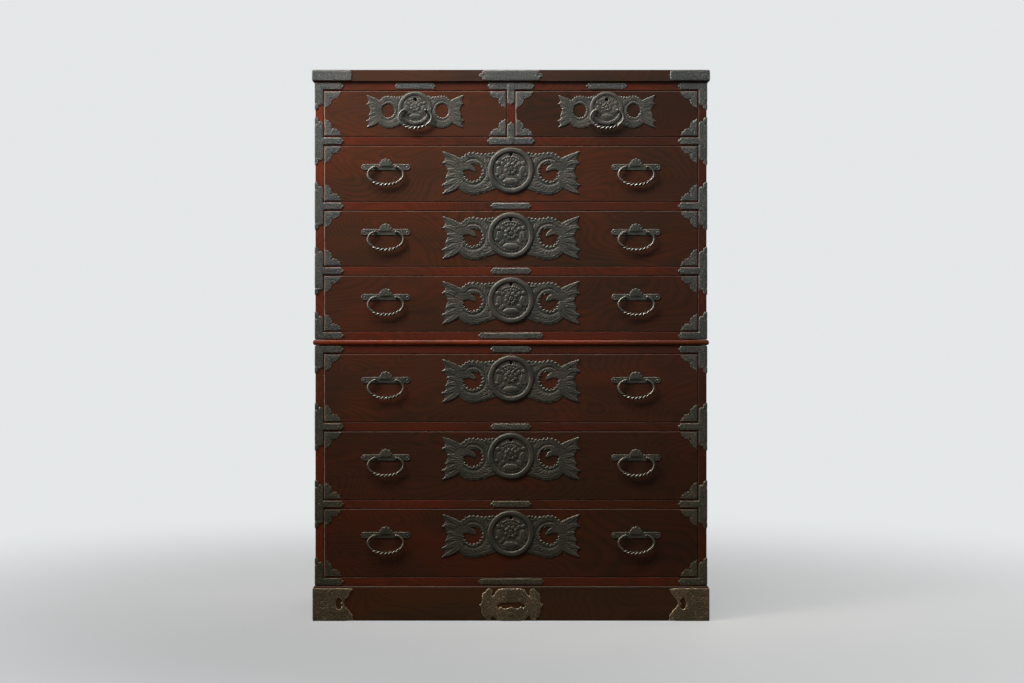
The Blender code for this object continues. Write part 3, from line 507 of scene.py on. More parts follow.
class Sheet:
    """How far inside its outline each point of a plate is, and how high it stands."""

    def __init__(self, us, vs, mirrored=False, scale=(1.0, 1.0)):
        self.us, self.vs = us, vs
        self.u, self.v = np.meshgrid(us, vs, indexing="ij")
        self.true_u, self.true_v = self.u, self.v
        if mirrored:
            self.u = np.abs(self.u)
        self.u, self.v = self.u / scale[0], self.v / scale[1]
        self.gap = np.full(self.u.shape, -60.0)
        self.rise = np.zeros(self.u.shape)

    def disc(self, u, v, radius, squash=1.0):
        return radius - np.hypot(self.u - u, (self.v - v) / squash)

    def polygon(self, points):
        inside = np.zeros(self.u.shape, bool)
        nearest = np.full(self.u.shape, 1e6)
        for (u0, v0), (u1, v1) in zip(points, points[1:] + points[:1]):
            du, dv = u1 - u0, v1 - v0
            share = ((self.u - u0) * du + (self.v - v0) * dv) / (du * du + dv * dv)
            share = np.clip(share, 0, 1)
            away = np.hypot(self.u - u0 - share * du, self.v - v0 - share * dv)
            nearest = np.minimum(nearest, away)
            if v0 != v1:
                at = (u1 - u0) * (self.v - v0) / (v1 - v0) + u0
                inside ^= ((v0 > self.v) != (v1 > self.v)) & (self.u < at)
        return np.where(inside, nearest, -nearest)

    def bar(self, low_u, high_u, half, middle=0.0):
        centre = (low_u + high_u) / 2
        return np.minimum(
            (high_u - low_u) / 2 - np.abs(self.u - centre), half - np.abs(self.v - middle)
        )

    def stroke(self, points, widths):
        """How far inside a tapered stroke each point is, its place along and beside it."""
        best = np.full(self.u.shape, -1e6)
        along = np.zeros(self.u.shape)
        beside = np.zeros(self.u.shape)
        count = len(points) - 1
        for k in range(count):
            (u0, v0), (u1, v1) = points[k], points[k + 1]
            du, dv = u1 - u0, v1 - v0
            length = math.hypot(du, dv) or 1e-9
            share = ((self.u - u0) * du + (self.v - v0) * dv) / length**2
            share = np.clip(share, 0, 1)
            off_u, off_v = self.u - u0 - share * du, self.v - v0 - share * dv
            away = np.hypot(off_u, off_v)
            width = widths[k] + (widths[k + 1] - widths[k]) * share
            gap = width - away
            better = gap > best
            best = np.where(better, gap, best)
            along = np.where(better, (k + share) / count, along)
            turn = np.sign(du * off_v - dv * off_u)
            beside = np.where(better, turn * away / np.maximum(width, 0.2), beside)
        return best, along, beside

    def add(self, gap, rise=None):
        self.gap = np.maximum(self.gap, gap)
        if rise is not None:
            self.rise = np.maximum(self.rise, np.where(gap > 0, rise, 0))

    def keep(self, gap):
        self.gap = np.minimum(self.gap, gap)

    def cut(self, gap):
        self.keep(-gap)

    def leaf(self, path, width, base, rise, lobes=5, shape=True, scallop=0.28, start=0.55,
             rib=0.30):
        """A curling leaf with scalloped edges, a vein and ribs that slant out from it."""
        count = 6 * lobes
        points = smoothed(path, count + 1)
        t = np.linspace(0, 1, count + 1)
        taper = start + (1 - start) * np.minimum(1, t / 0.35)
        taper = taper * np.sqrt(np.clip(1 - t, 0, 1) + 0.01)
        widths = width * taper * (1 - scallop * np.abs(np.cos(np.pi * lobes * t)) ** 2)
        gap, along, beside = self.stroke(points, widths)
        across = np.clip(np.abs(beside), 0, 1)
        body = np.sqrt(1 - across**2 * 0.92)
        ribs = 0.5 + 0.5 * np.cos(2 * np.pi * (lobes * along - 0.9 * across))
        vein = np.exp(-((across * width / 0.9) ** 2))
        height = base + rise * (0.62 * body + rib * ribs * np.sqrt(across)) - 0.42 * rise * vein
        if shape:
            self.add(gap)
        self.rise = np.where(gap > 0, np.maximum(height, self.rise * 0.82), self.rise)

    def groove(self, path, width, depth):
        """A line cut along a path."""
        gap, _, _ = self.stroke(path, [width] * len(path))
        self.rise = self.rise - depth * np.clip(gap / (0.5 * width), 0, 1)

    def bead(self, u, v, radius, base, rise, shape=False):
        """A round-headed bead, which may reach past the plate's outline."""
        gap = self.disc(u, v, radius)
        if shape:
            self.add(gap)
        height = base + rise * bulge(1 - (1 - gap / radius) ** 2)
        self.rise = np.where(gap > 0, np.maximum(self.rise, height), self.rise)

    def spiral(self, u, v, radius, turn=0.0, way=1, width=0.75, depth=0.35, turns=1.4):
        """An engraved spiral."""
        angles = np.linspace(0, 2 * math.pi * turns, 22)
        radii = radius * (1 - 0.82 * angles / angles[-1])
        path = [(u + r * math.cos(turn + way * a), v + r * math.sin(turn + way * a))
                for a, r in zip(angles, radii)]
        self.groove(path, width, depth)

    def spirals(self, places, radius, first=0, **line):
        """Spirals in a row, which curl by turns one way and the other."""
        for k, (u, v) in enumerate(places):
            self.spiral(u, v, radius, first + k, 1 if k % 2 else -1, **line)

    def cloud(self, tip, half, way=1, upright=False, step=1.0):
        """A three-lobed end for a bar, its tip at the given place; gives where the bar ends."""
        for back, off, radius in ((0.42, 0.0, 0.42), (step, 0.56, 0.44), (step, -0.56, 0.44)):
            place = (tip - way * back * half, off * half)
            self.add(self.disc(*(reversed(place) if upright else place), radius * half))
        return tip - way * 0.95 * step * half

    def edge_distance(self):
        """Each inside point's distance from the outline, as it really is."""
        found = []
        fields = (self.gap, self.true_u, self.true_v)
        for gap, u, v in (fields, [field.T for field in fields]):
            first, second = gap[:-1], gap[1:]
            i, j = np.nonzero((first > 0) != (second > 0))
            share = first[i, j] / (first[i, j] - second[i, j])
            found.append(np.column_stack([
                field[i, j] + share * (field[i + 1, j] - field[i, j]) for field in (u, v)
            ]))
        outline = np.vstack(found)
        inside = np.nonzero(self.gap > 0)
        places = np.column_stack([self.true_u[inside], self.true_v[inside]])
        nearest = np.empty(len(places))
        for start in range(0, len(places), 2000):
            part = places[start:start + 2000]
            square = ((part[:, None, :] - outline[None, :, :]) ** 2).sum(2)
            nearest[start:start + 2000] = np.sqrt(square.min(1))
        distance = np.zeros(self.gap.shape)
        distance[inside] = nearest
        return distance

    def solid(self, edge, reach, border=0.0, whole_back=False, rim=0.75, hollow=1.0):
        """Points, triangles and relief of the plate, lying on its back with heights forward."""
        distance = self.edge_distance()
        rise = self.rise.copy()
        if border:
            rise -= BORDER_DEPTH * np.exp(-(((distance - border) / BORDER_WIDTH) ** 2))
        rise = np.maximum(rise, edge + 0.15)
        share = np.clip(distance / reach, 0, 1)
        height = edge + (rise - edge) * np.sqrt(share * (2 - share))
        height = np.where(self.gap > 0, height, edge)
        ground = np.where(self.gap > 0, height, GROUND_SHARE * edge)
        relief = height - soften(ground, GROUND_PASSES)
        relief = np.where(relief < 0, hollow * relief, relief)
        relief = relief + rim * np.exp(-((distance / RIM_WIDTH) ** 2))
        shape = clipped(self.gap, self.true_u, self.true_v, height, relief)
        return closed_plate(*shape, whole_back)


def clipped(gap, u, v, height, relief):
    """The grid's triangles where gap is over zero, cut along the line where it is zero."""
    rows, columns = gap.shape
    index = np.arange(rows * columns).reshape(rows, columns)
    a, b, c, d = index[:-1, :-1], index[1:, :-1], index[1:, 1:], index[:-1, 1:]
    odd = (np.add.outer(np.arange(rows - 1), np.arange(columns - 1)) % 2).astype(bool)[..., None]
    first = np.where(odd, np.stack([a, b, d], -1), np.stack([a, b, c], -1)).reshape(-1, 3)
    second = np.where(odd, np.stack([b, c, d], -1), np.stack([a, c, d], -1)).reshape(-1, 3)
    triangles = np.concatenate([first, second])
    value = gap.ravel()
    inside = (value > 0)[triangles]
    count = inside.sum(1)
    total = rows * columns
    made = [triangles[count == 3]]
    pairs = []

    def crossing(p, q):
        pairs.append(np.minimum(p, q) * total + np.maximum(p, q))
        return len(pairs) - 1

    def led(chosen, lead):
        rolled = [(lead + k) % 3 for k in range(3)]
        return [np.take_along_axis(chosen, r[:, None], 1)[:, 0] for r in rolled]

    a1, b1, c1 = led(triangles[count == 1], inside[count == 1].argmax(1))
    a2, b2, c2 = led(triangles[count == 2], inside[count == 2].argmin(1))
    ab1, ac1, ab2, ac2 = (crossing(a1, b1), crossing(a1, c1), crossing(a2, b2), crossing(a2, c2))
    keys = np.concatenate(pairs)
    unique, inverse = np.unique(keys, return_inverse=True)
    ends = np.cumsum([0] + [len(p) for p in pairs])
    new = [total + inverse[ends[k]:ends[k + 1]] for k in range(4)]
    made.append(np.column_stack([a1, new[ab1], new[ac1]]))
    made.append(np.column_stack([new[ab2], b2, c2]))
    made.append(np.column_stack([new[ab2], c2, new[ac2]]))
    low, high = unique // total, unique % total
    share = np.clip(value[low] / (value[low] - value[high]), 0.06, 0.94)

    def spread(field):
        flat = field.ravel()
        return np.concatenate([flat, flat[low] + share * (flat[high] - flat[low])])

    triangles = np.concatenate(made)
    used, triangles = np.unique(triangles, return_inverse=True)
    fields = [spread(field)[used] for field in (u, v, height, relief)]
    return fields, triangles.reshape(-1, 3)


def closed_plate(fields, triangles, whole_back):
    """Adds the walls and the back to a plate's face."""
    u, v, height, relief = fields
    count = len(u)
    edges = np.concatenate([triangles[:, [0, 1]], triangles[:, [1, 2]], triangles[:, [2, 0]]])
    keys = edges[:, 0] * count + edges[:, 1]
    rim = edges[~np.isin(keys, edges[:, 1] * count + edges[:, 0])]
    following = dict(rim.tolist())
    back = None
    if not whole_back:
        loops, left = [], set(following)
        while left:
            start = point = left.pop()
            loop = [start]
            while (point := following[point]) != start:
                left.discard(point)
                loop.append(point)
            loops.append(loop)
        flat = [point for loop in loops for point in loop]
        found = tessellate_polygon([[Vector((u[p], v[p], 0)) for p in loop] for loop in loops])
        back = np.array([[flat[k] for k in triangle] for triangle in found])
        area = [
            (u[t[:, 1]] - u[t[:, 0]]) * (v[t[:, 2]] - v[t[:, 0]])
            - (u[t[:, 2]] - u[t[:, 0]]) * (v[t[:, 1]] - v[t[:, 0]]) for t in (triangles, back)
        ]
        back = np.where((area[1] > 0)[:, None], back[:, ::-1], back)
        if abs(np.abs(area[1]).sum() / area[0].sum() - 1) > 1e-4:
            back = None
    if back is None:
        back = triangles[:, ::-1]
    behind = np.full(count, -1)
    needed = np.unique(np.concatenate([back.ravel(), rim.ravel()]))
    behind[needed] = count + np.arange(len(needed))
    p, q = rim[:, 0], rim[:, 1]
    walls = np.concatenate([
        np.column_stack([q, p, behind[p]]), np.column_stack([q, behind[p], behind[q]])
    ])
    zeros = np.zeros(len(needed))
    fields = (
        np.concatenate([u, u[needed]]), np.concatenate([v, v[needed]]),
        np.concatenate([height, zeros]), np.concatenate([relief, zeros]),
    )
    return fields, np.concatenate([triangles, walls, behind[back]])


def flat_place(u, v, height, way=1):
    """A plate lying in the XZ plane, its back at Y = 0."""
    return np.column_stack([way * u, -height, v]) * MM


def folded_place(u, v, height, way=1, radius=0.8):
    """A plate folded round a corner at X = 0, Y = 0; where u is negative it runs back."""
    half = radius * math.pi / 4
    angle = np.clip((half - u) / radius, 0, math.pi / 2)
    x = -radius + (radius + height) * np.sin(angle) - np.maximum(u - half, 0)
    y = radius - (radius + height) * np.cos(angle) + np.maximum(-half - u, 0)
    return np.column_stack([way * x, y, v]) * MM


class Plate:
    """A worked plate kept as arrays, so that it can be set down in many places."""

    def __init__(self, solid, place=flat_place, ways=(1,)):
        (u, v, height, relief), self.triangles = solid
        self.relief = relief
        self.points = {way: place(u, v, height, way) for way in ways}
        self.turned = {way: (place is flat_place) == (way < 0) for way in ways}

    def arrays(self, offset, way=1, up=1):
        """Points, triangles and relief where the plate is set down, mirrored if asked."""
        points = self.points[way] * (1, 1, up) + offset
        turned = self.turned[way] != (up < 0)
        return points, self.triangles[:, ::-1] if turned else self.triangles, self.relief


def plate_piece(name, parts):
    """One mesh of several plates, with their relief kept for the wear of the iron."""
    points, triangles, relief, start = [], [], [], 0
    for part_points, part_triangles, part_relief in parts:
        points.append(part_points)
        triangles.append(part_triangles + start)
        relief.append(part_relief)
        start += len(part_points)
    mesh = array_mesh(name, np.concatenate(points), np.concatenate(triangles))
    write_values(mesh, "relief", np.concatenate(relief))
    shade(mesh, 55)
    return mesh_object(name, mesh)


# Node trees


def node(tree, kind, inputs=(), **settings):
    made = tree.nodes.new(kind)
    for key, value in settings.items():
        setattr(made, key, value)
    for key, value in dict(inputs).items():
        if isinstance(value, bpy.types.NodeSocket):
            tree.links.new(value, made.inputs[key])
        else:
            made.inputs[key].default_value = value
    return made


def maths(tree, operation, first, second=0.0, third=0.0, clamp=False):
    made = node(tree, "ShaderNodeMath", {0: first, 1: second, 2: third}, operation=operation,
                use_clamp=clamp)
    return made.outputs[0]


def times(tree, first, second):
    return maths(tree, "MULTIPLY", first, second)


def plus(tree, first, second):
    return maths(tree, "ADD", first, second)


def ramp(tree, value, low, high, out_low=0.0, out_high=1.0, kind="SMOOTHSTEP"):
    made = node(
        tree, "ShaderNodeMapRange",
        {"Value": value, "From Min": low, "From Max": high, "To Min": out_low, "To Max": out_high},
        interpolation_type=kind,
    )
    return made.outputs["Result"]


def mixed(tree, share, first, second, blend="MIX"):
    made = node(
        tree, "ShaderNodeMix", {0: share, 6: first, 7: second}, data_type="RGBA", blend_type=blend
    )
    return made.outputs[2]


def noise(tree, vector, stretch=None, detail=2.0, roughness=0.5, distortion=0.0):
    """Noise on a vector, with its frequency along each axis."""
    if stretch:
        vector = node(tree, "ShaderNodeVectorMath", {0: vector, 1: stretch},
                      operation="MULTIPLY").outputs[0]
    made = node(
        tree, "ShaderNodeTexNoise",
        {"Vector": vector, "Scale": 1.0, "Detail": detail, "Roughness": roughness,
         "Distortion": distortion},
    )
    return made.outputs["Fac"]


def attribute(tree, name, output="Fac"):
    return node(tree, "ShaderNodeAttribute", attribute_name=name).outputs[output]


def object_place(tree):
    return tree.nodes.new("ShaderNodeTexCoord").outputs["Object"]


def node_group(name, kind, inputs, outputs):
    """Makes a function that fills a node group into one that gives it, built at its first use."""
    def declared(fill):
        def group():
            if name in bpy.data.node_groups:
                return bpy.data.node_groups[name]
            tree = bpy.data.node_groups.new(name, kind)
            for direction, sockets in (("INPUT", inputs), ("OUTPUT", outputs)):
                for label, socket_type, *value in sockets:
                    socket = tree.interface.new_socket(
                        label, in_out=direction, socket_type="NodeSocket" + socket_type
                    )
                    if value:
                        socket.default_value = value[0]
            given, made = (tree.nodes.new("NodeGroup" + end) for end in ("Input", "Output"))
            fill(tree, given.outputs, made.inputs)
            return tree
        return group
    return declared


def placed(tree, group, inputs):
    """A node group set down in a tree, with its own values."""
    kind = tree.bl_idname.replace("Tree", "Group")
    return node(tree, kind, inputs, node_tree=group).outputs


@node_group(
    "Board figure", "ShaderNodeTree",
    [("Vector", "Vector"), ("Rings", "Float", 52.0), ("Light", "Color"), ("Dark", "Color"),
     ("Ring Strength", "Float", 0.6), ("Fibre Strength", "Float", 0.4), ("Tone", "Float", 1.0),
     ("Arris", "Float", 0.0), ("Rubbed", "Color"), ("Warmth", "Float", 1.0)],
    [("Colour", "Color"), ("Height", "Float")],
)
def board_figure(tree, given, made):
    """Growth rings, fibres and broad shading of a flat-sawn board, tinted by a tone that carries
    painted light and shade, and paled on rubbed arrises, which also carry a painted highlight.
    """
    vector = given["Vector"]
    rise = noise(tree, vector, (2.3, 5.0, 5.0), detail=1.0, roughness=0.35, distortion=0.45)
    waver = noise(tree, vector, (9.0, 60.0, 60.0))
    field = times(tree, rise, given["Rings"])
    field = plus(tree, field, times(tree, waver, 0.5))
    saw = maths(tree, "FRACT", field)
    ring = times(tree, ramp(tree, saw, 0.25, 0.88), ramp(tree, saw, 0.90, 1.0, 1.0, 0.0))
    fibre = noise(tree, vector, (16.0, 560.0, 560.0), roughness=0.6)
    pores = ramp(tree, fibre, 0.30, 0.44, 1.0, 0.0)
    broad = noise(tree, vector, (1.7, 3.1, 3.1), detail=1.0)
    streak = noise(tree, vector, (3.0, 70.0, 70.0))
    ring_share = times(tree, ring, given["Ring Strength"])
    shift = times(tree, ramp(tree, broad, 0.3, 0.7), 0.42)
    shift = plus(tree, shift, times(tree, ramp(tree, streak, 0.4, 0.75), 0.22))
    share = plus(tree, ring_share, shift)
    grain_share = times(tree, pores, given["Fibre Strength"])
    share = maths(tree, "ADD", share, grain_share, clamp=True)
    warm = noise(tree, vector, (4.4, 9.0, 9.0), detail=1.0, distortion=0.6)
    tint = mixed(tree, ramp(tree, warm, 0.36, 0.66), (0.88, 0.99, 1.04, 1), (1.20, 1.02, 0.86, 1))
    colour = mixed(tree, share, given["Light"], given["Dark"])
    colour = mixed(tree, given["Warmth"], colour, tint, "MULTIPLY")
    # Painted light and shade: a low tone multiplies the colour by a cool dark tint, a high one by
    # a warm light tint
    shade_tint = mixed(tree, ramp(tree, given["Tone"], 0.4, 1.6, kind="LINEAR"),
                       (0.40, 0.52, 0.62, 1), (1.60, 1.45, 1.30, 1))
    colour = mixed(tree, 1.0, colour, shade_tint, "MULTIPLY")
    # Pale rubbed arrises: real wear, and a painted highlight on the ones that face left
    rubbed = times(tree, ramp(tree, streak, 0.35, 0.62, 0.25, 0.75), given["Arris"])
    tree.links.new(mixed(tree, rubbed, colour, given["Rubbed"]), made["Colour"])
    height = maths(tree, "SUBTRACT", times(tree, ring, -0.35), pores)
    tree.links.new(height, made["Height"])


@node_group(
    "Handling marks", "ShaderNodeTree",
    [("Vector", "Vector"), ("Low", "Float", 0.3), ("High", "Float", 0.5)],
    [("Roughness", "Float")],
)
def handling_marks(tree, given, made):
    """Roughness that wanders with polishing, smudges and a little dust."""
    smudge = noise(tree, given["Vector"], (6, 6, 6), detail=4.0, roughness=0.6)
    fine = noise(tree, given["Vector"], (90, 90, 90))
    share = maths(tree, "MULTIPLY_ADD", fine, 0.35, times(tree, smudge, 0.65))
    share = ramp(tree, share, 0.3, 0.7, kind="LINEAR")
    spread = maths(tree, "SUBTRACT", given["High"], given["Low"])
    rough = maths(tree, "MULTIPLY_ADD", share, spread, given["Low"])
    tree.links.new(rough, made["Roughness"])


@node_group(
    "Chased metal", "ShaderNodeTree",
    [("Vector", "Vector"), ("Relief", "Float"), ("Iron", "Color"), ("Deep", "Color"),
     ("Worn", "Color"), ("Engraving", "Float", 1.0), ("Wear", "Float", 0.7),
     ("Patina", "Float", 0.5), ("Dullness", "Float", 0.0)],
    [("Colour", "Color"), ("Roughness", "Float"), ("Height", "Float")],
)
def chased_metal(tree, given, made):
    """Hammered, engraved and rubbed iron, darker in its hollows, and browner and darker low down
    as a painted reflection of the floor.
    """
    vector = given["Vector"]
    hammer = node(
        tree, "ShaderNodeTexVoronoi", {"Vector": vector, "Scale": 260.0, "Randomness": 1.0},
        feature="SMOOTH_F1",
    ).outputs["Distance"]
    cells = node(
        tree, "ShaderNodeTexVoronoi", {"Vector": vector, "Scale": 74.0, "Randomness": 0.75},
    ).outputs["Distance"]
    curls = maths(tree, "SINE", times(tree, cells, 26.0))
    curls = ramp(tree, curls, 0.1, 0.75)
    patch = noise(tree, vector, (38, 38, 38), detail=3.0)
    speck = noise(tree, vector, (420, 420, 420))
    cut = times(tree, times(tree, curls, given["Engraving"]), ramp(tree, patch, 0.3, 0.5))
    parts = node(tree, "ShaderNodeSeparateXYZ", {0: vector}).outputs
    level = plus(tree, parts["X"], parts["Y"])
    slant = node(tree, "ShaderNodeCombineXYZ", {
        "X": times(tree, plus(tree, level, parts["Z"]), 120.0),
        "Y": times(tree, maths(tree, "SUBTRACT", level, parts["Z"]), 340.0),
    }).outputs[0]
    stroke = noise(tree, slant, detail=1.0)
    bright = times(tree, ramp(tree, stroke, 0.53, 0.64), given["Engraving"])
    dark = times(tree, ramp(tree, stroke, 0.47, 0.36), given["Engraving"])
    colour = mixed(tree, ramp(tree, given["Relief"], -0.05, -0.75), given["Iron"], given["Deep"])
    colour = mixed(tree, times(tree, cut, 0.45), colour, given["Deep"])
    colour = mixed(tree, times(tree, dark, 0.60), colour, given["Deep"])
    colour = mixed(tree, times(tree, bright, 0.50), colour, given["Worn"])
    worn = ramp(tree, maths(tree, "MULTIPLY_ADD", speck, 0.35, given["Relief"]), 0.55, 1.40)
    colour = mixed(tree, times(tree, worn, given["Wear"]), colour, given["Worn"])
    # Painted floor reflection: the lower the iron stands on the chest, the browner and darker its
    # colour
    low = times(tree, ramp(tree, parts["Z"], 1.15, 0.15), given["Patina"])
    colour = mixed(tree, low, colour, (1.02, 0.90, 0.62, 1), "MULTIPLY")
    tint = mixed(tree, ramp(tree, patch, 0.35, 0.7), (0.90, 0.94, 0.92, 1), (1.08, 1.02, 0.98, 1))
    colour = mixed(tree, 1.0, colour, tint, "MULTIPLY")
    tree.links.new(colour, made["Colour"])
    rough = maths(tree, "MULTIPLY_ADD", worn, -0.13, ramp(tree, patch, 0.25, 0.75, 0.36, 0.48))
    rough = plus(tree, rough, given["Dullness"])
    tree.links.new(rough, made["Roughness"])
    height = maths(tree, "MULTIPLY_ADD", hammer, 0.55, times(tree, cut, -0.8))
    height = maths(tree, "MULTIPLY_ADD", speck, 0.18, height)
    height = maths(tree, "MULTIPLY_ADD", stroke, 0.7, height)
    tree.links.new(height, made["Height"])


def new_material(name, metallic, coat=0.0, coat_rough=0.1, specular=0.5):
    """A material with what is the same all over it set on its shader."""
    material = bpy.data.materials.new(name)
    material.use_nodes = True
    tree = material.node_tree
    shader = tree.nodes["Principled BSDF"]
    shader.inputs["Metallic"].default_value = metallic
    shader.inputs["Coat Weight"].default_value = coat
    shader.inputs["Coat Roughness"].default_value = coat_rough
    shader.inputs["Specular IOR Level"].default_value = specular
    return material, tree, shader


def rgba(colour):
    return (*colour, 1.0)


def add_bump(tree, shader, height, strength, distance):
    bump = node(tree, "ShaderNodeBump",
                {"Strength": strength, "Distance": distance, "Height": height})
    tree.links.new(bump.outputs["Normal"], shader.inputs["Normal"])


def make_wood(name, light, dark, rings=0.6, fibre=0.4, rough=(0.32, 0.44), coat=0.35, bump=0.25,
              warmth=1.0):
    """Wood under lacquer or bare, paler and duller where its arrises are rubbed, and paler on
    those that face left as a painted highlight.
    """
    material, tree, shader = new_material(name, 0.0, coat, 0.14, 0.28)
    arris_wear_and_highlight = attribute(tree, "arris_wear_and_highlight")
    # Pale colour of rubbed arrises, which also shows the painted highlight on the left-facing ones
    rubbed = tuple(min(0.7, base + 0.8 * c) for base, c in zip((0.34, 0.24, 0.19), light))
    figure = placed(tree, board_figure(), {
        "Vector": attribute(tree, "grain", "Vector"), "Tone": attribute(tree, "tone_and_painted_light"),
        "Rings": bpy.context.scene.tansu_sizes.ring_count, "Light": rgba(light),
        "Dark": rgba(dark), "Ring Strength": rings, "Fibre Strength": fibre, "Arris": arris_wear_and_highlight,
        "Rubbed": rgba(rubbed), "Warmth": warmth,
    })
    marks = placed(tree, handling_marks(),
                   {"Vector": object_place(tree), "Low": rough[0], "High": rough[1]})
    tree.links.new(figure["Colour"], shader.inputs["Base Color"])
    worn = maths(tree, "MULTIPLY", arris_wear_and_highlight, 5.0, clamp=True)
    tree.links.new(maths(tree, "MULTIPLY_ADD", worn, 0.2, marks["Roughness"]),
                   shader.inputs["Roughness"])
    if coat:
        tree.links.new(maths(tree, "MULTIPLY_ADD", worn, -0.8 * coat, coat),
                       shader.inputs["Coat Weight"])
    add_bump(tree, shader, figure["Height"], bump, 0.0004)
    return material


def make_iron(name, iron, deep, worn, engraving=1.0, metallic=0.85, bump=0.9, wear=0.7,
              painted_floor_reflection=0.5, dullness=0.0):
    """Chased iron, with dirt in its hollows, rubbed on its high places, and browner low down as a
    painted reflection of the floor.
    """
    material, tree, shader = new_material(name, metallic)
    metal = placed(tree, chased_metal(), {
        "Vector": object_place(tree), "Relief": attribute(tree, "relief"), "Iron": rgba(iron),
        "Deep": rgba(deep), "Worn": rgba(worn), "Engraving": engraving, "Wear": wear,
        "Patina": painted_floor_reflection, "Dullness": dullness,
    })
    tree.links.new(metal["Colour"], shader.inputs["Base Color"])
    tree.links.new(metal["Roughness"], shader.inputs["Roughness"])
    add_bump(tree, shader, metal["Height"], bump, 0.0011)
    return material


def make_floor(name, colour):
    """A pale floor that passes into the backdrop some way from the chest."""
    material, tree, shader = new_material(name, 0.0)
    place = object_place(tree)
    cloud = noise(tree, place, (1.3, 1.3, 1.3), detail=4.0)
    light = tuple(min(1.0, 1.04 * c) for c in colour)
    tree.links.new(
        mixed(tree, ramp(tree, cloud, 0.3, 0.7), rgba(colour), rgba(light)),
        shader.inputs["Base Color"],
    )
    shader.inputs["Roughness"].default_value = 0.75
    away = node(tree, "ShaderNodeVectorMath", {0: place}, operation="LENGTH").outputs["Value"]
    seen = tree.nodes.new("ShaderNodeLightPath").outputs["Is Camera Ray"]
    share = times(tree, ramp(tree, away, 0.5, 2.8, 0.45, 1.0), seen)
    glow = node(tree, "ShaderNodeEmission", {"Color": BACKDROP, "Strength": 1.0})
    bounce = node(tree, "ShaderNodeBsdfDiffuse", {"Color": FLOOR_BOUNCE})
    near = node(tree, "ShaderNodeMixShader",
                {0: seen, 1: bounce.outputs["BSDF"], 2: shader.outputs["BSDF"]})
    both = node(tree, "ShaderNodeMixShader",
                {0: share, 1: near.outputs["Shader"], 2: glow.outputs["Emission"]})
    out = next(n for n in tree.nodes if n.type == "OUTPUT_MATERIAL")
    tree.links.new(both.outputs["Shader"], out.inputs["Surface"])
    return material


def finish(name):
    """The named finish, made when it is first asked for."""
    found = bpy.data.materials.get(name)
    if found:
        return found
    c = bpy.context.scene.tansu_colours
    irons = (c.iron, c.iron_deep, c.iron_worn)
    makers = {
        "Front lacquer": lambda: make_wood(name, c.front, c.front_rings, rings=0.42, fibre=0.40),
        "Carcass lacquer": lambda: make_wood(name, c.case, c.case_rings, rings=0.45, fibre=0.35),
        # The moulding's lacquer is lighter and redder than the carcass's: painted light from above
        # on its rounded face
        "Waist lacquer": lambda: make_wood(
            name, (0.250, 0.042, 0.010), c.case, rings=0.45, fibre=0.35, rough=(0.26, 0.36)),
        "Plinth lacquer": lambda: make_wood(
            name, c.plinth, c.front_rings, rings=0.38, fibre=0.3, rough=(0.38, 0.52)),
        "Top lacquer": lambda: make_wood(name, c.top, c.front_rings, rings=0.55, fibre=0.35),
        "Paulownia": lambda: make_wood(
            name, c.tray, tuple(0.68 * v for v in c.tray), rings=0.35, fibre=0.25,
            rough=(0.62, 0.78), coat=0.0, bump=0.4, warmth=0.3),
        "Back boards": lambda: make_wood(
            name, (0.22, 0.11, 0.056), (0.13, 0.062, 0.032), rings=0.30, fibre=0.4,
            rough=(0.6, 0.75), coat=0.0, bump=0.4, warmth=0.6),
        "Lock iron": lambda: make_iron(
            name, (0.130, 0.126, 0.112), (0.066, 0.063, 0.055), (0.215, 0.206, 0.186),
            engraving=0.35, metallic=0.80, bump=0.4, wear=0.5, painted_floor_reflection=0.45, dullness=0.07),
        "Strap iron": lambda: make_iron(
            name, *irons, engraving=0.7, metallic=0.80, bump=0.42, wear=0.3, painted_floor_reflection=1.0,
            dullness=0.10),
        "Plinth iron": lambda: make_iron(
            name, (0.27, 0.215, 0.15), (0.06, 0.05, 0.036), (0.62, 0.52, 0.40), engraving=0.5,
            bump=0.7),
        "Bail iron": lambda: make_iron(
            name, (0.265, 0.255, 0.230), c.iron_deep, (0.60, 0.58, 0.54), engraving=0.0,
            metallic=0.9, bump=0.2),
        "Bolt iron": lambda: make_iron(
            name, (0.060, 0.057, 0.050), c.iron_deep, c.iron, engraving=0.0, metallic=0.9,
            bump=0.25),
        "Studio floor": lambda: make_floor(name, c.floor),
    }
    return makers[name]()


# Geometry trees


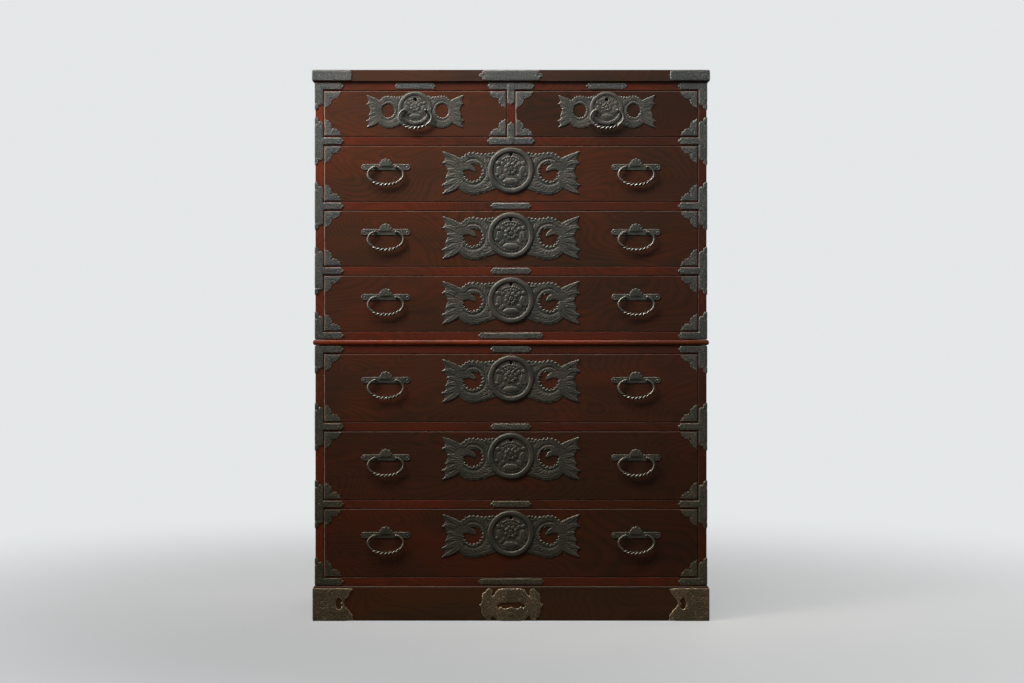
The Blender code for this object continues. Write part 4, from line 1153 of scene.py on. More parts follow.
@node_group(
    "Studs", "GeometryNodeTree",
    [("Geometry", "Geometry"), ("Head Radius", "Float", 0.0017), ("Flatness", "Float", 0.5),
     ("Wander", "Float", 0.08), ("Seed", "Int", 3), ("Finish", "Material")],
    [("Geometry", "Geometry")],
)
def stud_tree(tree, given, made):
    """Sets a domed head on every point, facing the way that the point says."""
    head = node(tree, "GeometryNodeMeshUVSphere", {"Segments": 12, "Rings": 7, "Radius": 1.0})
    shape = node(tree, "ShaderNodeCombineXYZ", {"X": 1.0, "Y": 1.0, "Z": given["Flatness"]})
    flat = node(tree, "GeometryNodeTransform",
                {"Geometry": head.outputs["Mesh"], "Scale": shape.outputs[0]})
    facing = node(tree, "GeometryNodeInputNamedAttribute", {"Name": "facing"},
                  data_type="FLOAT_VECTOR")
    turn = node(tree, "FunctionNodeAlignRotationToVector", {"Vector": facing.outputs["Attribute"]},
                axis="Z")
    low = maths(tree, "SUBTRACT", 1.0, given["Wander"])
    high = plus(tree, 1.0, given["Wander"])
    spread = node(tree, "FunctionNodeRandomValue", {"Seed": given["Seed"]}, data_type="FLOAT")
    for identifier, value in (("Min_001", low), ("Max_001", high)):
        socket = next(s for s in spread.inputs if s.identifier == identifier)
        tree.links.new(value, socket)
    share = next(s for s in spread.outputs if s.identifier == "Value_001")
    size = times(tree, share, given["Head Radius"])
    spots = node(tree, "GeometryNodeInstanceOnPoints",
                 {"Points": given["Geometry"], "Instance": flat.outputs["Geometry"],
                  "Rotation": turn.outputs["Rotation"], "Scale": size})
    real = node(tree, "GeometryNodeRealizeInstances", {"Geometry": spots.outputs["Instances"]})
    smooth = node(tree, "GeometryNodeSetShadeSmooth", {"Geometry": real.outputs["Geometry"]})
    done = node(tree, "GeometryNodeSetMaterial",
                {"Geometry": smooth.outputs["Geometry"], "Material": given["Finish"]})
    tree.links.new(done.outputs["Geometry"], made["Geometry"])


@node_group(
    "Twisted bail", "GeometryNodeTree",
    [("Geometry", "Geometry"), ("Strands", "Int", 3), ("Turns", "Float", 2.4),
     ("Strand Depth", "Float", 0.0028), ("Sides", "Int", 24), ("Finish", "Material")],
    [("Geometry", "Geometry")],
)
def bail_tree(tree, given, made):
    """Runs a round bar along a bail's line, twisted where it is held."""

    def named(label):
        found = node(tree, "GeometryNodeInputNamedAttribute", {"Name": label}, data_type="FLOAT")
        return found.outputs["Attribute"]

    curve = node(tree, "GeometryNodeMeshToCurve", {"Mesh": given["Geometry"]})
    ring = node(tree, "GeometryNodeCurvePrimitiveCircle",
                {"Resolution": given["Sides"], "Radius": 1.0})
    round_share = node(tree, "GeometryNodeSplineParameter").outputs["Factor"]
    stored = node(tree, "GeometryNodeStoreNamedAttribute",
                  {"Geometry": ring.outputs["Curve"], "Name": "around", "Value": round_share},
                  data_type="FLOAT", domain="POINT")
    tube = node(tree, "GeometryNodeCurveToMesh",
                {"Curve": curve.outputs["Curve"], "Profile Curve": stored.outputs["Geometry"],
                 "Scale": named("thickness"), "Fill Caps": True})
    turned = maths(tree, "MULTIPLY_ADD", named("run"), given["Turns"], named("around"))
    phase = times(tree, turned, given["Strands"])
    wave = maths(tree, "COSINE", times(tree, phase, 2 * math.pi))
    wave = maths(tree, "MULTIPLY_ADD", wave, 0.5, -0.5)
    depth = times(tree, times(tree, wave, given["Strand Depth"]), named("grip"))
    normal = node(tree, "GeometryNodeInputNormal").outputs[0]
    offset = node(tree, "ShaderNodeVectorMath", {0: normal, "Scale": depth}, operation="SCALE")
    moved = node(tree, "GeometryNodeSetPosition",
                 {"Geometry": tube.outputs["Mesh"], "Offset": offset.outputs[0]})
    relief = node(tree, "GeometryNodeStoreNamedAttribute",
                  {"Geometry": moved.outputs["Geometry"], "Name": "relief",
                   "Value": maths(tree, "MULTIPLY_ADD", depth, 1300.0,
                                  times(tree, named("grip"), 1.7))},
                  data_type="FLOAT", domain="POINT")
    real = node(tree, "GeometryNodeRealizeInstances", {"Geometry": relief.outputs["Geometry"]})
    smooth = node(tree, "GeometryNodeSetShadeSmooth", {"Geometry": real.outputs["Geometry"]})
    done = node(tree, "GeometryNodeSetMaterial",
                {"Geometry": smooth.outputs["Geometry"], "Material": given["Finish"]})
    tree.links.new(done.outputs["Geometry"], made["Geometry"])


def grown(name, mesh, tree, values):
    """A plain mesh object of what a geometry tree makes of the mesh."""
    piece = mesh_object(name, mesh)
    modifier = piece.modifiers.new(tree.name, "NODES")
    modifier.node_group = tree
    for item in tree.interface.items_tree:
        if item.item_type == "SOCKET" and item.in_out == "INPUT" and item.name in values:
            modifier[item.identifier] = values[item.name]
    return baked(piece)


def studs(name, body, slot, places, radius, flatness, material, seed):
    """Heads at (point, facing) places, as one mesh that rides on a body."""
    mesh = bpy.data.meshes.new(name)
    mesh.from_pydata([point for point, _ in places], [], [])
    write_values(mesh, "facing", [way for _, way in places], kind="FLOAT_VECTOR")
    heads = grown(name, mesh, stud_tree(), {
        "Head Radius": radius, "Flatness": flatness, "Seed": seed, "Finish": material,
    })
    attach(heads, body, slot)


# Nails and pegs: how flat their heads are, and how far pegs sit from the end of a board
NAIL_FLATNESS = 0.45
PEG_FLATNESS = 0.35
PEG_INSET = 0.012
BACK_PEG_RADIUS = 0.0024
TRAY_PEG_RADIUS = 0.0019

# Boards of the cases

# The gap that shows between two boards laid side by side, and how many lie in a row
PLANK_GAP = 0.0002
FLOOR_PLANKS = 3
BACK_PLANKS = 6
# Radius worked on the arrises of each kind of board that doesn't follow the panel's
DUST_ROUND = 0.0005
BACK_ROUND = 0.0012
WALL_ROUND = 0.0006
WAIST_ROUND = 0.0063
TOP_ROUND = 0.002
PLINTH_ROUND = 0.0042
TRAY_ROUND = 0.0008
TRAY_FLOOR_ROUND = 0.0004
# Two ends of an edge that differ by less than this are at one height
LEVEL = 1e-5
# Painted light: how light the wood of the left and the right sides is painted beside the rails,
# the left lighter as it faces the light
SIDE_PAINTED_LIGHT = {"left": 1.45, "right": 0.95}


def build_cases(sizes):
    """Sides, rails, dust boards and backs of both cases."""
    lacquer = finish("Carcass lacquer")
    for case, rails in CASES.items():
        body = f"{case}_case"
        foot, head = rails[0][0] + SEAT_GAP, rails[-1][1]
        for side, label in SIDES:
            xs = sorted((side * EDGE_X, side * INNER_X))
            boards = Boards(11 + side + len(rails))
            boards.add((xs[0], FRONT_Y, foot), (xs[1], BACK_Y, head), "z", sizes.board_round,
                       SIDE_PAINTED_LIGHT[label])
            piece = boards.piece(f"{case}_{label}_board")
            dress(piece, body, "case_wood", lacquer, f"{case}_{label}_side")
        build_rails(case, rails, body, sizes)
        build_dust_boards(case, rails, body)
        build_back(case, body, foot, head)


def bolt_room(name, x, low, high):
    """The space that a lock's bolt slides in, as a cutting tool."""
    half = BOLT_WIDTH / 2 + BOLT_CLEARANCE
    return block(
        name, (x - half, FRONT_Y + BOLT_Y - BOLT_CLEARANCE, low),
        (x + half, FRONT_Y + BOLT_Y + BOLT_THICKNESS + BOLT_CLEARANCE, high),
    )


def build_rails(case, rails, body, sizes):
    """Rails between the drawers, with mortises for the bolts that rise into them."""
    boards = Boards(31 + len(rails))
    reach = INNER_X - SEAT_GAP
    for index, (low, high) in enumerate(rails):
        low = low + SEAT_GAP if index == 0 else low
        boards.add(
            (-reach, RAIL_Y, low), (reach, FRONT_Y + RAIL_DEPTH, high), "x", sizes.board_round
        )
    piece = boards.piece(f"{case}_rails")
    if case == "lower":
        mortises = [(0, low) for low, _ in rails[1:]]
    else:
        mortises = [(0, low) for low, _ in rails[1:-1]]
        mortises += [(way * SMALL_CENTRE, rails[-1][0]) for way in (-1, 1)]
    tools = [bolt_room("mortise", x, low - PAST, low + BOLT_TRAVEL + MM) for x, low in mortises]
    planed(cut_from(piece, tools), 0.3)
    dress(piece, body, "shelf_wood", finish("Carcass lacquer"), f"{case}_shelf_frame")


def build_dust_boards(case, rails, body):
    """Thin boards from each rail to the back, with their grain from end to end."""
    boards = Boards(51 + len(rails))
    start = FRONT_Y + RAIL_DEPTH
    width = (PANEL_Y - start) / FLOOR_PLANKS
    reach = INNER_X - SEAT_GAP
    for index, (low, high) in enumerate(rails):
        board = low if case == "upper" and index == len(rails) - 1 else high - SHELF_THICKNESS
        for k in range(FLOOR_PLANKS):
            boards.add(
                (-reach, start + k * width, board),
                (reach, start + (k + 1) * width - PLANK_GAP, board + SHELF_THICKNESS),
                "x", DUST_ROUND,
            )
    dress(boards.piece(f"{case}_dust_boards"), body, "shelf_wood", finish("Paulownia"))


def build_back(case, body, foot, head):
    """Upright boards side by side behind a case, pegged at several heights."""
    boards = Boards(71 if case == "upper" else 72)
    reach = INNER_X - SEAT_GAP
    width = 2 * reach / BACK_PLANKS
    places = []
    for k in range(BACK_PLANKS):
        left = -reach + k * width
        right = left + width
        boards.add((left + PLANK_GAP, PANEL_Y, foot), (right - PLANK_GAP, BACK_Y, head), "z",
                   BACK_ROUND)
        for z in np.linspace(foot + PEG_INSET, head - PEG_INSET, 5):
            for x in (left + 0.02, right - 0.02):
                places.append(((x, BACK_Y - 0.0004, z), (0, 1, 0)))
    dress(boards.piece(f"{case}_back_boards"), body, "shelf_wood", finish("Back boards"))
    studs(f"{case}_back_pegs", body, "shelf_wood", places, BACK_PEG_RADIUS, PEG_FLATNESS,
          finish("Paulownia"), 5)


def build_partition(sizes):
    """The post between the small drawers and the wall behind it."""
    rails = CASES["upper"]
    low, high = rails[-2][1] + SEAT_GAP, rails[-1][0] - SEAT_GAP
    half = CENTRE_POST_WIDTH / 2
    boards = Boards(81)
    boards.add((-half, FRONT_Y, low), (half, FRONT_Y + RAIL_DEPTH, high), "z", sizes.board_round)
    boards.add((-half, FRONT_Y + RAIL_DEPTH, low), (half, PANEL_Y - SEAT_GAP, high), "y",
               WALL_ROUND)
    dress(boards.piece("partition_boards"), "upper_case", "case_wood", finish("Carcass lacquer"),
          "centre_partition")


def front_or_side(edge):
    """Whether an edge of a box runs level and isn't at the back."""
    first, second = (vert.co for vert in edge.verts)
    return abs(first.z - second.z) < LEVEL and min(first.y, second.y) <= BACK_Y - LEVEL


def build_waist():
    """The moulding between the cases, half round at the front and the sides."""
    out = EDGE_X + WAIST_PROJECTION
    low = LOWER_LEVELS[-1]
    boards = Boards(91)
    shape = rounded_box(
        (-out, FRONT_Y - WAIST_PROJECTION, low + SEAT_GAP), (out, BACK_Y, low + WAIST_HEIGHT),
        WAIST_ROUND, 5, front_or_side,
    )
    boards.take(shape, "x")
    dress(boards.piece("waist_moulding", 0.0), "lower_case", "waist_wood", finish("Waist lacquer"),
          "waist_board")


def build_top():
    """The top board."""
    out = EDGE_X + TOP_OVERHANG
    low = UPPER_LEVELS[-1]
    boards = Boards(95)
    boards.take(rounded_box((-out, FRONT_Y - TOP_OVERHANG, low + SEAT_GAP),
                            (out, BACK_Y, low + TOP_BOARD_HEIGHT), TOP_ROUND, 3), "x")
    dress(boards.piece("top_panel"), "upper_case", "top_wood", finish("Top lacquer"), "top_board")


def prism(points, low, high, radius):
    """A board with the given outline seen from above."""
    shape = bmesh.new()
    bottom = [shape.verts.new((x, y, low)) for x, y in points]
    face = shape.faces.new(bottom)
    found = bmesh.ops.extrude_face_region(shape, geom=[face])
    moved = [item for item in found["geom"] if isinstance(item, bmesh.types.BMVert)]
    bmesh.ops.translate(shape, verts=moved, vec=(0, 0, high - low))
    bmesh.ops.recalc_face_normals(shape, faces=shape.faces)
    edges = [e for e in shape.edges if abs(e.verts[0].co.z - e.verts[1].co.z) < 1e-6]
    bmesh.ops.bevel(shape, geom=edges, offset=radius, segments=4, affect="EDGES", profile=0.5)
    return shape


def build_plinth():
    """Four base boards mitred at the corners."""
    out, wall = EDGE_X + PLINTH_PROJECTION, PLINTH_WALL
    front = FRONT_Y - PLINTH_PROJECTION
    outer = [(-out, front), (out, front), (out, BACK_Y), (-out, BACK_Y)]
    inner = [(wall - out, front + wall), (out - wall, front + wall),
             (out - wall, BACK_Y - wall), (wall - out, BACK_Y - wall)]
    boards = Boards(101)
    for first, along in enumerate("xyxy"):
        second = (first + 1) % 4
        points = [outer[first], outer[second], inner[second], inner[first]]
        boards.take(prism(points, 0.0, PLINTH_HEIGHT, PLINTH_ROUND), along)
    dress(boards.piece("plinth_boards"), "lower_case", "plinth_wood", finish("Plinth lacquer"),
          "base_plinth")


# Irons of the cases

TOP_IRON_HEIGHT = TOP_BOARD_HEIGHT - SEAT_GAP - 0.0034
# Nails in from a side's edge, from the end of a leg, along the bar and back round the side
STILE_NAIL_IN = 0.0105
LEG_NAIL_IN = 0.017
BAR_NAIL_IN = 0.062
SIDE_NAIL_IN = 0.024
# Nails in the straps from their ends, in the centre irons and in the top board's irons
STRAP_NAIL_IN = 0.012
CENTRE_NAIL_OUT = 0.050
TOP_NAILS = (-0.066, 0.066, 0.012 - EDGE_X, EDGE_X - 0.012, 0.085 - EDGE_X, EDGE_X - 0.085)


def stile_sheet(above, below):
    """A T or L iron: a bar along the rail and legs on the stile, folded back round the side."""
    wrap, length = -1000 * SIDE_WRAP, 1000 * RAIL_IRON_LENGTH
    sheet = Sheet(folded_steps(wrap, length + 2.4, 2.4, 1.1),
                  steps(-1000 * below - 2.2, 1000 * above + 2.2, 1.1))
    half = 500 * RAIL_IRON_HEIGHT
    width = 1000 * SIDE_THICKNESS - 1.0
    sheet.add(sheet.bar(-3, sheet.cloud(length, half), half))
    sheet.cloud(wrap, half, -1)
    sheet.add(sheet.bar(wrap + 7, 2, half))
    for way, reach in ((1, 1000 * above), (-1, 1000 * below)):
        if reach > half + 1:
            low, high = sorted((0.0, sheet.cloud(way * reach, width, way, upright=True)))
            sheet.add(sheet.polygon([(-width, low), (width, low), (width, high), (-width, high)]))
            places = [(width / 2, way * v) for v in np.arange(half + 8, reach - 12, 13)]
            sheet.spirals(places, 6.0, 1)
    sheet.spirals([(u, 0) for u in np.arange(width + 8, length - 12, 13)], 5.6, 2)
    sheet.rise += IRON_RISE
    return sheet.solid(0.5, 2.4, 3.3, whole_back=True, rim=1.3)


def strap_sheet(length, height):
    """A strap with lobed ends and a row of spirals."""
    end, half = 500 * length, 500 * height
    sheet = Sheet(steps(-end - 2, end + 2, 1.0), steps(-half - 2, half + 2, 1.0), True)
    end = sheet.cloud(end, half)
    sheet.add(sheet.bar(-end, end, half))
    sheet.spirals([(u, 0) for u in np.arange(0, end - 0.4 * half, 1.6 * half)], 0.66 * half)
    sheet.rise += IRON_RISE
    return sheet.solid(0.5, 2.4, 3.3, rim=1.2)


def centre_sheet():
    """A T iron on the post between the small drawers, its leg ending in an ogee."""
    end, half = 500 * CENTRE_IRON_LENGTH, 500 * RAIL_IRON_HEIGHT
    leg = 1000 * CENTRE_IRON_LEG
    stem = 500 * CENTRE_POST_WIDTH - 1.2
    sheet = Sheet(steps(-end - 2, end + 2, 1.0), steps(-leg - 2, half + 2, 1.0), True)
    end = sheet.cloud(end, half)
    sheet.add(sheet.bar(-end, end, half))
    sheet.add(sheet.polygon(both_halves([
        (0, -leg), (2.4, -leg + 5.5), (5.5, -leg + 8), (stem, -leg + 10.5), (stem, 0), (0, 0),
    ])))
    sheet.rise += IRON_RISE
    sheet.spirals([(u, 0) for u in np.arange(18, end - 4, 13)], 5.6)
    for v in (-16, -29, -41):
        sheet.spiral(0.5, v, 5.4, turn=v)
    # The leg runs up over the bar and ends in a round cap
    over = np.maximum(sheet.bar(-stem + 0.6, stem - 0.6, 30, -30), sheet.disc(0, 0, stem - 0.6))
    over = np.where(sheet.v > -half - 1, np.clip(over, 0, 1), 0)
    sheet.rise = sheet.rise + 0.7 * over
    return sheet.solid(0.5, 2.4, 3.3, rim=1.2)


def drawer_corner_sheet():
    """A plate in a corner of a drawer front, with two lobes on its open side."""
    leg = 1000 * DRAWER_CORNER_LEG
    sheet = Sheet(steps(-1.6, leg + 2, 0.9), steps(-1.6, leg + 2, 0.9))
    sheet.add(sheet.polygon([(0, 0), (leg, 0), (leg - 5, 5), (17, 17), (5, leg - 5), (0, leg)]))
    for u, v, radius in ((29.5, 12.5, 5.6), (36.5, 6.5, 5.2), (23, 16.0, 3.8)):
        sheet.add(sheet.disc(u, v, radius))
        sheet.add(sheet.disc(v, u, radius))
    sheet.keep(np.minimum(sheet.u, sheet.v))
    sheet.cut(sheet.disc(18.6, 18.6, 2.2))
    sheet.rise += 1.35
    sheet.spiral(30, 8, 4.6, turn=0.5, width=0.6, depth=0.3)
    sheet.spiral(8, 30, 4.6, turn=1.1, way=-1, width=0.6, depth=0.3)
    sheet.spiral(10, 10, 5.2, turn=2.4, width=0.6, depth=0.3)
    return sheet.solid(0.5, 1.8, 2.6, rim=1.0)


def top_corner_sheet():
    """A bar folded round a front corner of the top board."""
    half = 500 * TOP_IRON_HEIGHT
    wrap, length = -1000 * TOP_WRAP, 1000 * TOP_CORNER_LENGTH
    sheet = Sheet(folded_steps(wrap, length + 2.4, 2.2, 1.1), steps(-half - 2.2, half + 2.2, 1.1))
    end = sheet.cloud(length - 2, half, step=0.55)
    sheet.add(sheet.bar(sheet.cloud(wrap + 2, half, -1), end, half))
    sheet.rise += IRON_RISE
    sheet.spirals([(u, 0) for u in np.arange(13, end - 6, 21)], 9.5, width=0.9, turns=1.8)
    return sheet.solid(0.5, 2.6, 3.6, whole_back=True, rim=1.2)


def set_iron(name, part, body):
    """One of the frame's irons, from a plate's arrays."""
    dress(plate_piece(name, [part]), body, "fitting_iron", finish("Strap iron"))


def build_stile_irons(nails):
    """T and L irons where the rails meet the sides."""
    half, reach = RAIL_IRON_HEIGHT / 2, STILE_IRON_REACH
    plates = {pair: Plate(stile_sheet(*pair), folded_place, (-1, 1))
              for pair in ((half, reach), (reach, reach), (reach, half))}
    for case, rails in CASES.items():
        body = f"{case}_case"
        for side, label in SIDES:
            for index, (low, high) in enumerate(rails):
                above = half if index == len(rails) - 1 else reach
                below = half if index == 0 else reach
                middle = (low + high) / 2
                part = plates[above, below].arrays((side * EDGE_X, FRONT_Y, middle), side)
                set_iron(f"{case}_{label}_iron_{index + 1}", part, body)
                spots = [(STILE_NAIL_IN, 0.0), (BAR_NAIL_IN, 0.0)]
                spots += [(STILE_NAIL_IN, above - LEG_NAIL_IN)] if above > half else []
                spots += [(STILE_NAIL_IN, LEG_NAIL_IN - below)] if below > half else []
                for u, v in spots:
                    place = (side * (EDGE_X - u), FRONT_Y - IRON_THICKNESS, middle + v)
                    nails[body].append((place, FORWARD))
                    if u == STILE_NAIL_IN:
                        place = (side * (EDGE_X + IRON_THICKNESS), FRONT_Y + SIDE_NAIL_IN,
                                 middle + 0.86 * v)
                        nails[body].append((place, (side, 0, 0)))


def build_rail_straps(nails):
    """Straps on the middles of the rails, but not where the centre iron's foot is."""
    plates = {length: Plate(strap_sheet(length, RAIL_STRAP_HEIGHT))
              for length in (FOOT_STRAP_LENGTH, RAIL_STRAP_LENGTH)}
    for case, rails in CASES.items():
        body = f"{case}_case"
        for index, (low, high) in enumerate(rails):
            under_head = len(rails) - 1 - index if case == "upper" else None
            if under_head == 1:
                continue
            length = FOOT_STRAP_LENGTH if index == 0 else RAIL_STRAP_LENGTH
            middle = (low + high) / 2
            xs = (-SMALL_CENTRE, SMALL_CENTRE) if under_head == 0 else (0.0,)
            for number, x in enumerate(xs):
                part = plates[length].arrays((x, RAIL_Y, middle))
                set_iron(f"{case}_strap_{index + 1}_{number + 1}", part, body)
                for way in (-1, 1):
                    along = x + way * (length / 2 - STRAP_NAIL_IN)
                    nails[body].append(((along, RAIL_Y - IRON_THICKNESS, middle), FORWARD))


def build_centre_irons(nails):
    """T irons at both ends of the post between the small drawers."""
    plate = Plate(centre_sheet())
    rails = CASES["upper"]
    for (low, high), up, label in ((rails[-2], -1, "foot"), (rails[-1], 1, "head")):
        middle = (low + high) / 2
        part = plate.arrays((0, FRONT_Y, middle), 1, up)
        set_iron(f"centre_{label}_iron", part, "upper_case")
        for way in (-1, 1):
            spot = (way * CENTRE_NAIL_OUT, FRONT_Y - IRON_THICKNESS, middle)
            nails["upper_case"].append((spot, FORWARD))


def build_top_irons(nails):
    """A strap and two corner irons on the edge of the top board."""
    middle = UPPER_LEVELS[-1] + (TOP_BOARD_HEIGHT + SEAT_GAP) / 2
    face = FRONT_Y - TOP_OVERHANG
    strap = Plate(strap_sheet(TOP_STRAP_LENGTH, TOP_IRON_HEIGHT))
    set_iron("top_centre_iron", strap.arrays((0, face, middle)), "upper_case")
    corner = Plate(top_corner_sheet(), folded_place, (-1, 1))
    for side, label in SIDES:
        part = corner.arrays((side * (EDGE_X + TOP_OVERHANG), face, middle), side)
        set_iron(f"top_{label}_iron", part, "upper_case")
    nails["upper_case"] += [((x, face - IRON_THICKNESS, middle), FORWARD) for x in TOP_NAILS]


def build_case_irons(sizes):
    """The irons of both cases and the top board, with their nails."""
    nails = {"upper_case": [], "lower_case": []}
    for build in (build_stile_irons, build_rail_straps, build_centre_irons, build_top_irons):
        build(nails)
    for body, places in nails.items():
        studs(f"{body}_nails", body, "fitting_iron", places, sizes.nail_radius, NAIL_FLATNESS,
              finish("Bail iron"), 7)


# Outlines of the plinth's irons, in millimetres from the plate's foot and its corner or middle
PLINTH_CORNER_LINE = [
    (0, 0), (109, 0), (106, 8), (107, 15), (101, 22), (96, 30), (87, 37), (84, 44), (84, 52),
    (88, 58), (93, 63), (98, 70), (103, 80), (110, 88.5), (0, 88.5),
]
PLINTH_CORNER_EYE = [
    (69, 64), (76, 58), (78, 51), (73, 46), (78, 40), (74, 33), (67, 31), (62, 37), (61, 48),
    (63, 59),
]
PLINTH_CENTRE_LINE = [
    (0, 0), (34, 0), (43, 8.7), (49, 16), (52, 8.7), (57.5, 1.0), (63, 0), (69, 7), (76, 13),
    (80, 22), (79, 33), (83, 37.6), (86.5, 44), (81.5, 46), (78, 53.5), (79, 66), (76, 75),
    (69, 79), (65, 86), (58, 88.5), (51, 84), (50, 75), (53, 68), (46, 69), (40, 80), (33, 87.5),
    (0, 87.5),
]
PLINTH_CENTRE_EYE = [
    (0, 49.5), (20, 50), (28, 48.5), (39, 42), (36, 36), (32, 35), (27, 39.5), (20, 32.5),
    (10, 34), (0, 38),
]
# Nails in from a corner iron's edge and up from its foot
PLINTH_CORNER_NAILS = (
    (0.012, 0.010), (0.012, 0.078), (0.095, 0.008), (0.095, 0.080), (0.045, 0.044),
)
# The engraved lines of the plinth's irons
PLINTH_LINE = {"width": 1.4, "depth": 0.7}


def eased_loop(points):
    """A closed outline with its corners cut back."""
    cut = []
    for (u0, v0), (u1, v1) in zip(points, points[1:] + points[:1]):
        cut += [(0.78 * u0 + 0.22 * u1, 0.78 * v0 + 0.22 * v1),
                (0.22 * u0 + 0.78 * u1, 0.22 * v0 + 0.78 * v1)]
    return cut


def plinth_corner_sheet():
    """A pierced plate folded round a corner of the plinth."""
    length, height = 1000 * PLINTH_CORNER_LENGTH, 1000 * PLINTH_IRON_HEIGHT
    wrap = -1000 * PLINTH_WRAP
    sheet = Sheet(folded_steps(wrap, length + 3, 2.2, 1.2), steps(-2.0, height + 2.4, 1.2))
    sheet.add(sheet.polygon(eased_loop(PLINTH_CORNER_LINE)))
    sheet.add(sheet.bar(-3, 30, height / 2, height / 2))
    notches = ((0, 0), (7, 0.2), (2, 0.36), (20, 0.5), (2, 0.64), (7, 0.8), (0, 1))
    side = [(wrap + u, share * height) for u, share in notches]
    sheet.add(sheet.polygon([(2, 0), *side, (2, height)]))
    sheet.cut(sheet.polygon(eased_loop(PLINTH_CORNER_EYE)))
    sheet.keep(np.minimum(sheet.v, height - sheet.v))
    sheet.rise += IRON_RISE
    for v, way in ((0.20, 1), (0.80, -1)):
        sheet.spiral(0.78 * length, v * height, 9, 2.5 * way, way, **PLINTH_LINE)
        sheet.spiral(0.45 * length, v * height, 9, 0.4 * way, -way, **PLINTH_LINE)
    sheet.spiral(0.24 * length, 0.5 * height, 12, 1, turns=1.6, **PLINTH_LINE)
    return sheet.solid(0.5, 2.8, 3.8, whole_back=True, rim=1.3)


def plinth_centre_sheet():
    """The pierced plate in the middle of the plinth, with lobed ends."""
    half, height = 500 * PLINTH_CENTRE_LENGTH, 1000 * PLINTH_IRON_HEIGHT
    sheet = Sheet(steps(-half - 2, half + 2, 1.0), steps(-2, height + 2, 1.0), True)
    sheet.add(sheet.polygon(eased_loop(both_halves(PLINTH_CENTRE_LINE))))
    sheet.keep(np.minimum(sheet.v, height - sheet.v))
    sheet.cut(sheet.polygon(eased_loop(both_halves(PLINTH_CENTRE_EYE))))
    sheet.rise += IRON_RISE
    for u, v, radius, way in ((59, 80, 6.5, 1), (60, 9, 6.0, -1), (28, 68, 9, -1), (26, 16, 9, 1)):
        sheet.spiral(u, v, radius, 2.2 * way, way, **PLINTH_LINE)
    sheet.bead(0, 18, 6.5, 2.0, 1.4)
    return sheet.solid(0.5, 2.8, 3.8, rim=1.3)


def build_plinth_irons(sizes):
    """The plates on the corners and the middle of the plinth, with their nails."""
    iron = finish("Plinth iron")
    face = FRONT_Y - PLINTH_PROJECTION - SEAT_GAP
    edge = EDGE_X + PLINTH_PROJECTION + SEAT_GAP
    corner = Plate(plinth_corner_sheet(), folded_place, (-1, 1))
    places = []
    for side, label in SIDES:
        piece = plate_piece(f"plinth_{label}_iron", [corner.arrays((side * edge, face, 0), side)])
        dress(piece, "lower_case", "fitting_iron", iron, f"base_{label}_corner_iron")
        places += [(side * (edge - u), v) for u, v in PLINTH_CORNER_NAILS]
    piece = plate_piece("plinth_centre_iron", [Plate(plinth_centre_sheet()).arrays((0, face, 0))])
    dress(piece, "lower_case", "fitting_iron", iron, "base_centre_iron")
    places += [(x, z) for z in (0.060, 0.026) for x in (-0.045, 0.045)]
    places = [((x, face - IRON_THICKNESS, z), FORWARD) for x, z in places]
    studs("plinth_nails", "lower_case", "fitting_iron", places, sizes.nail_radius, NAIL_FLATNESS,
          finish("Bail iron"), 9)


# Drawers

# Painted shade: how light the wood of each front is painted beside the others, darker towards the
# bottom and the right
FRONT_PAINTED_SHADE = {
    "small_left": 0.97, "small_right": 0.64, "upper_1": 0.99, "upper_2": 0.93, "upper_3": 0.82,
    "lower_1": 0.90, "lower_2": 0.80, "lower_3": 0.74,
}
# Nails in a drawer's corner iron, from its corner
CORNER_NAILS = ((0.0065, 0.0065), (0.038, 0.0042), (0.0042, 0.038))


def build_fronts(sizes):
    """Drawer fronts with their corner irons."""
    shapes = {}
    corner = Plate(drawer_corner_sheet(), flat_place, (-1, 1))
    inset = sizes.front_round
    for number, (name, x, foot, height, width) in enumerate(DRAWERS):
        body = f"{name}_drawer"
        half = width / 2 - RUNNING_GAP
        top = height - DRAWER_TOP_GAP
        size = (round(height, 4), round(width, 4))
        if size not in shapes:
            shapes[size] = front_shape(half, top, height, inset)
        piece = mesh_object(f"{name}_front_board", shapes[size].copy())
        piece.data.transform(Matrix.Translation((x, FRONT_Y, foot)))
        grain_mesh(piece.data, "x", 200 + 7 * number, FRONT_PAINTED_SHADE[name])
        planed(piece)
        dress(piece, body, "front_wood", finish("Front lacquer"), f"{name}_front")
        corners = [
            (way, up, x + way * (half - inset), foot + level) for way in (-1, 1)
            for level, up in ((FRONT_FOOT_GAP + inset, 1), (top - inset, -1))
        ]
        parts = [corner.arrays((u, FRONT_Y, v), -way, up) for way, up, u, v in corners]
        dress(plate_piece(f"{name}_corner_irons", parts), body, "fitting_iron",
              finish("Strap iron"))
        places = [
            ((u - way * nail_u, FRONT_Y - 0.0013, v + up * nail_v), FORWARD)
            for way, up, u, v in corners for nail_u, nail_v in CORNER_NAILS
        ]
        studs(f"{name}_corner_nails", body, "fitting_iron", places, 0.8 * sizes.nail_radius,
              NAIL_FLATNESS, finish("Bail iron"), 11 + number)
    for mesh in shapes.values():
        bpy.data.meshes.remove(mesh)


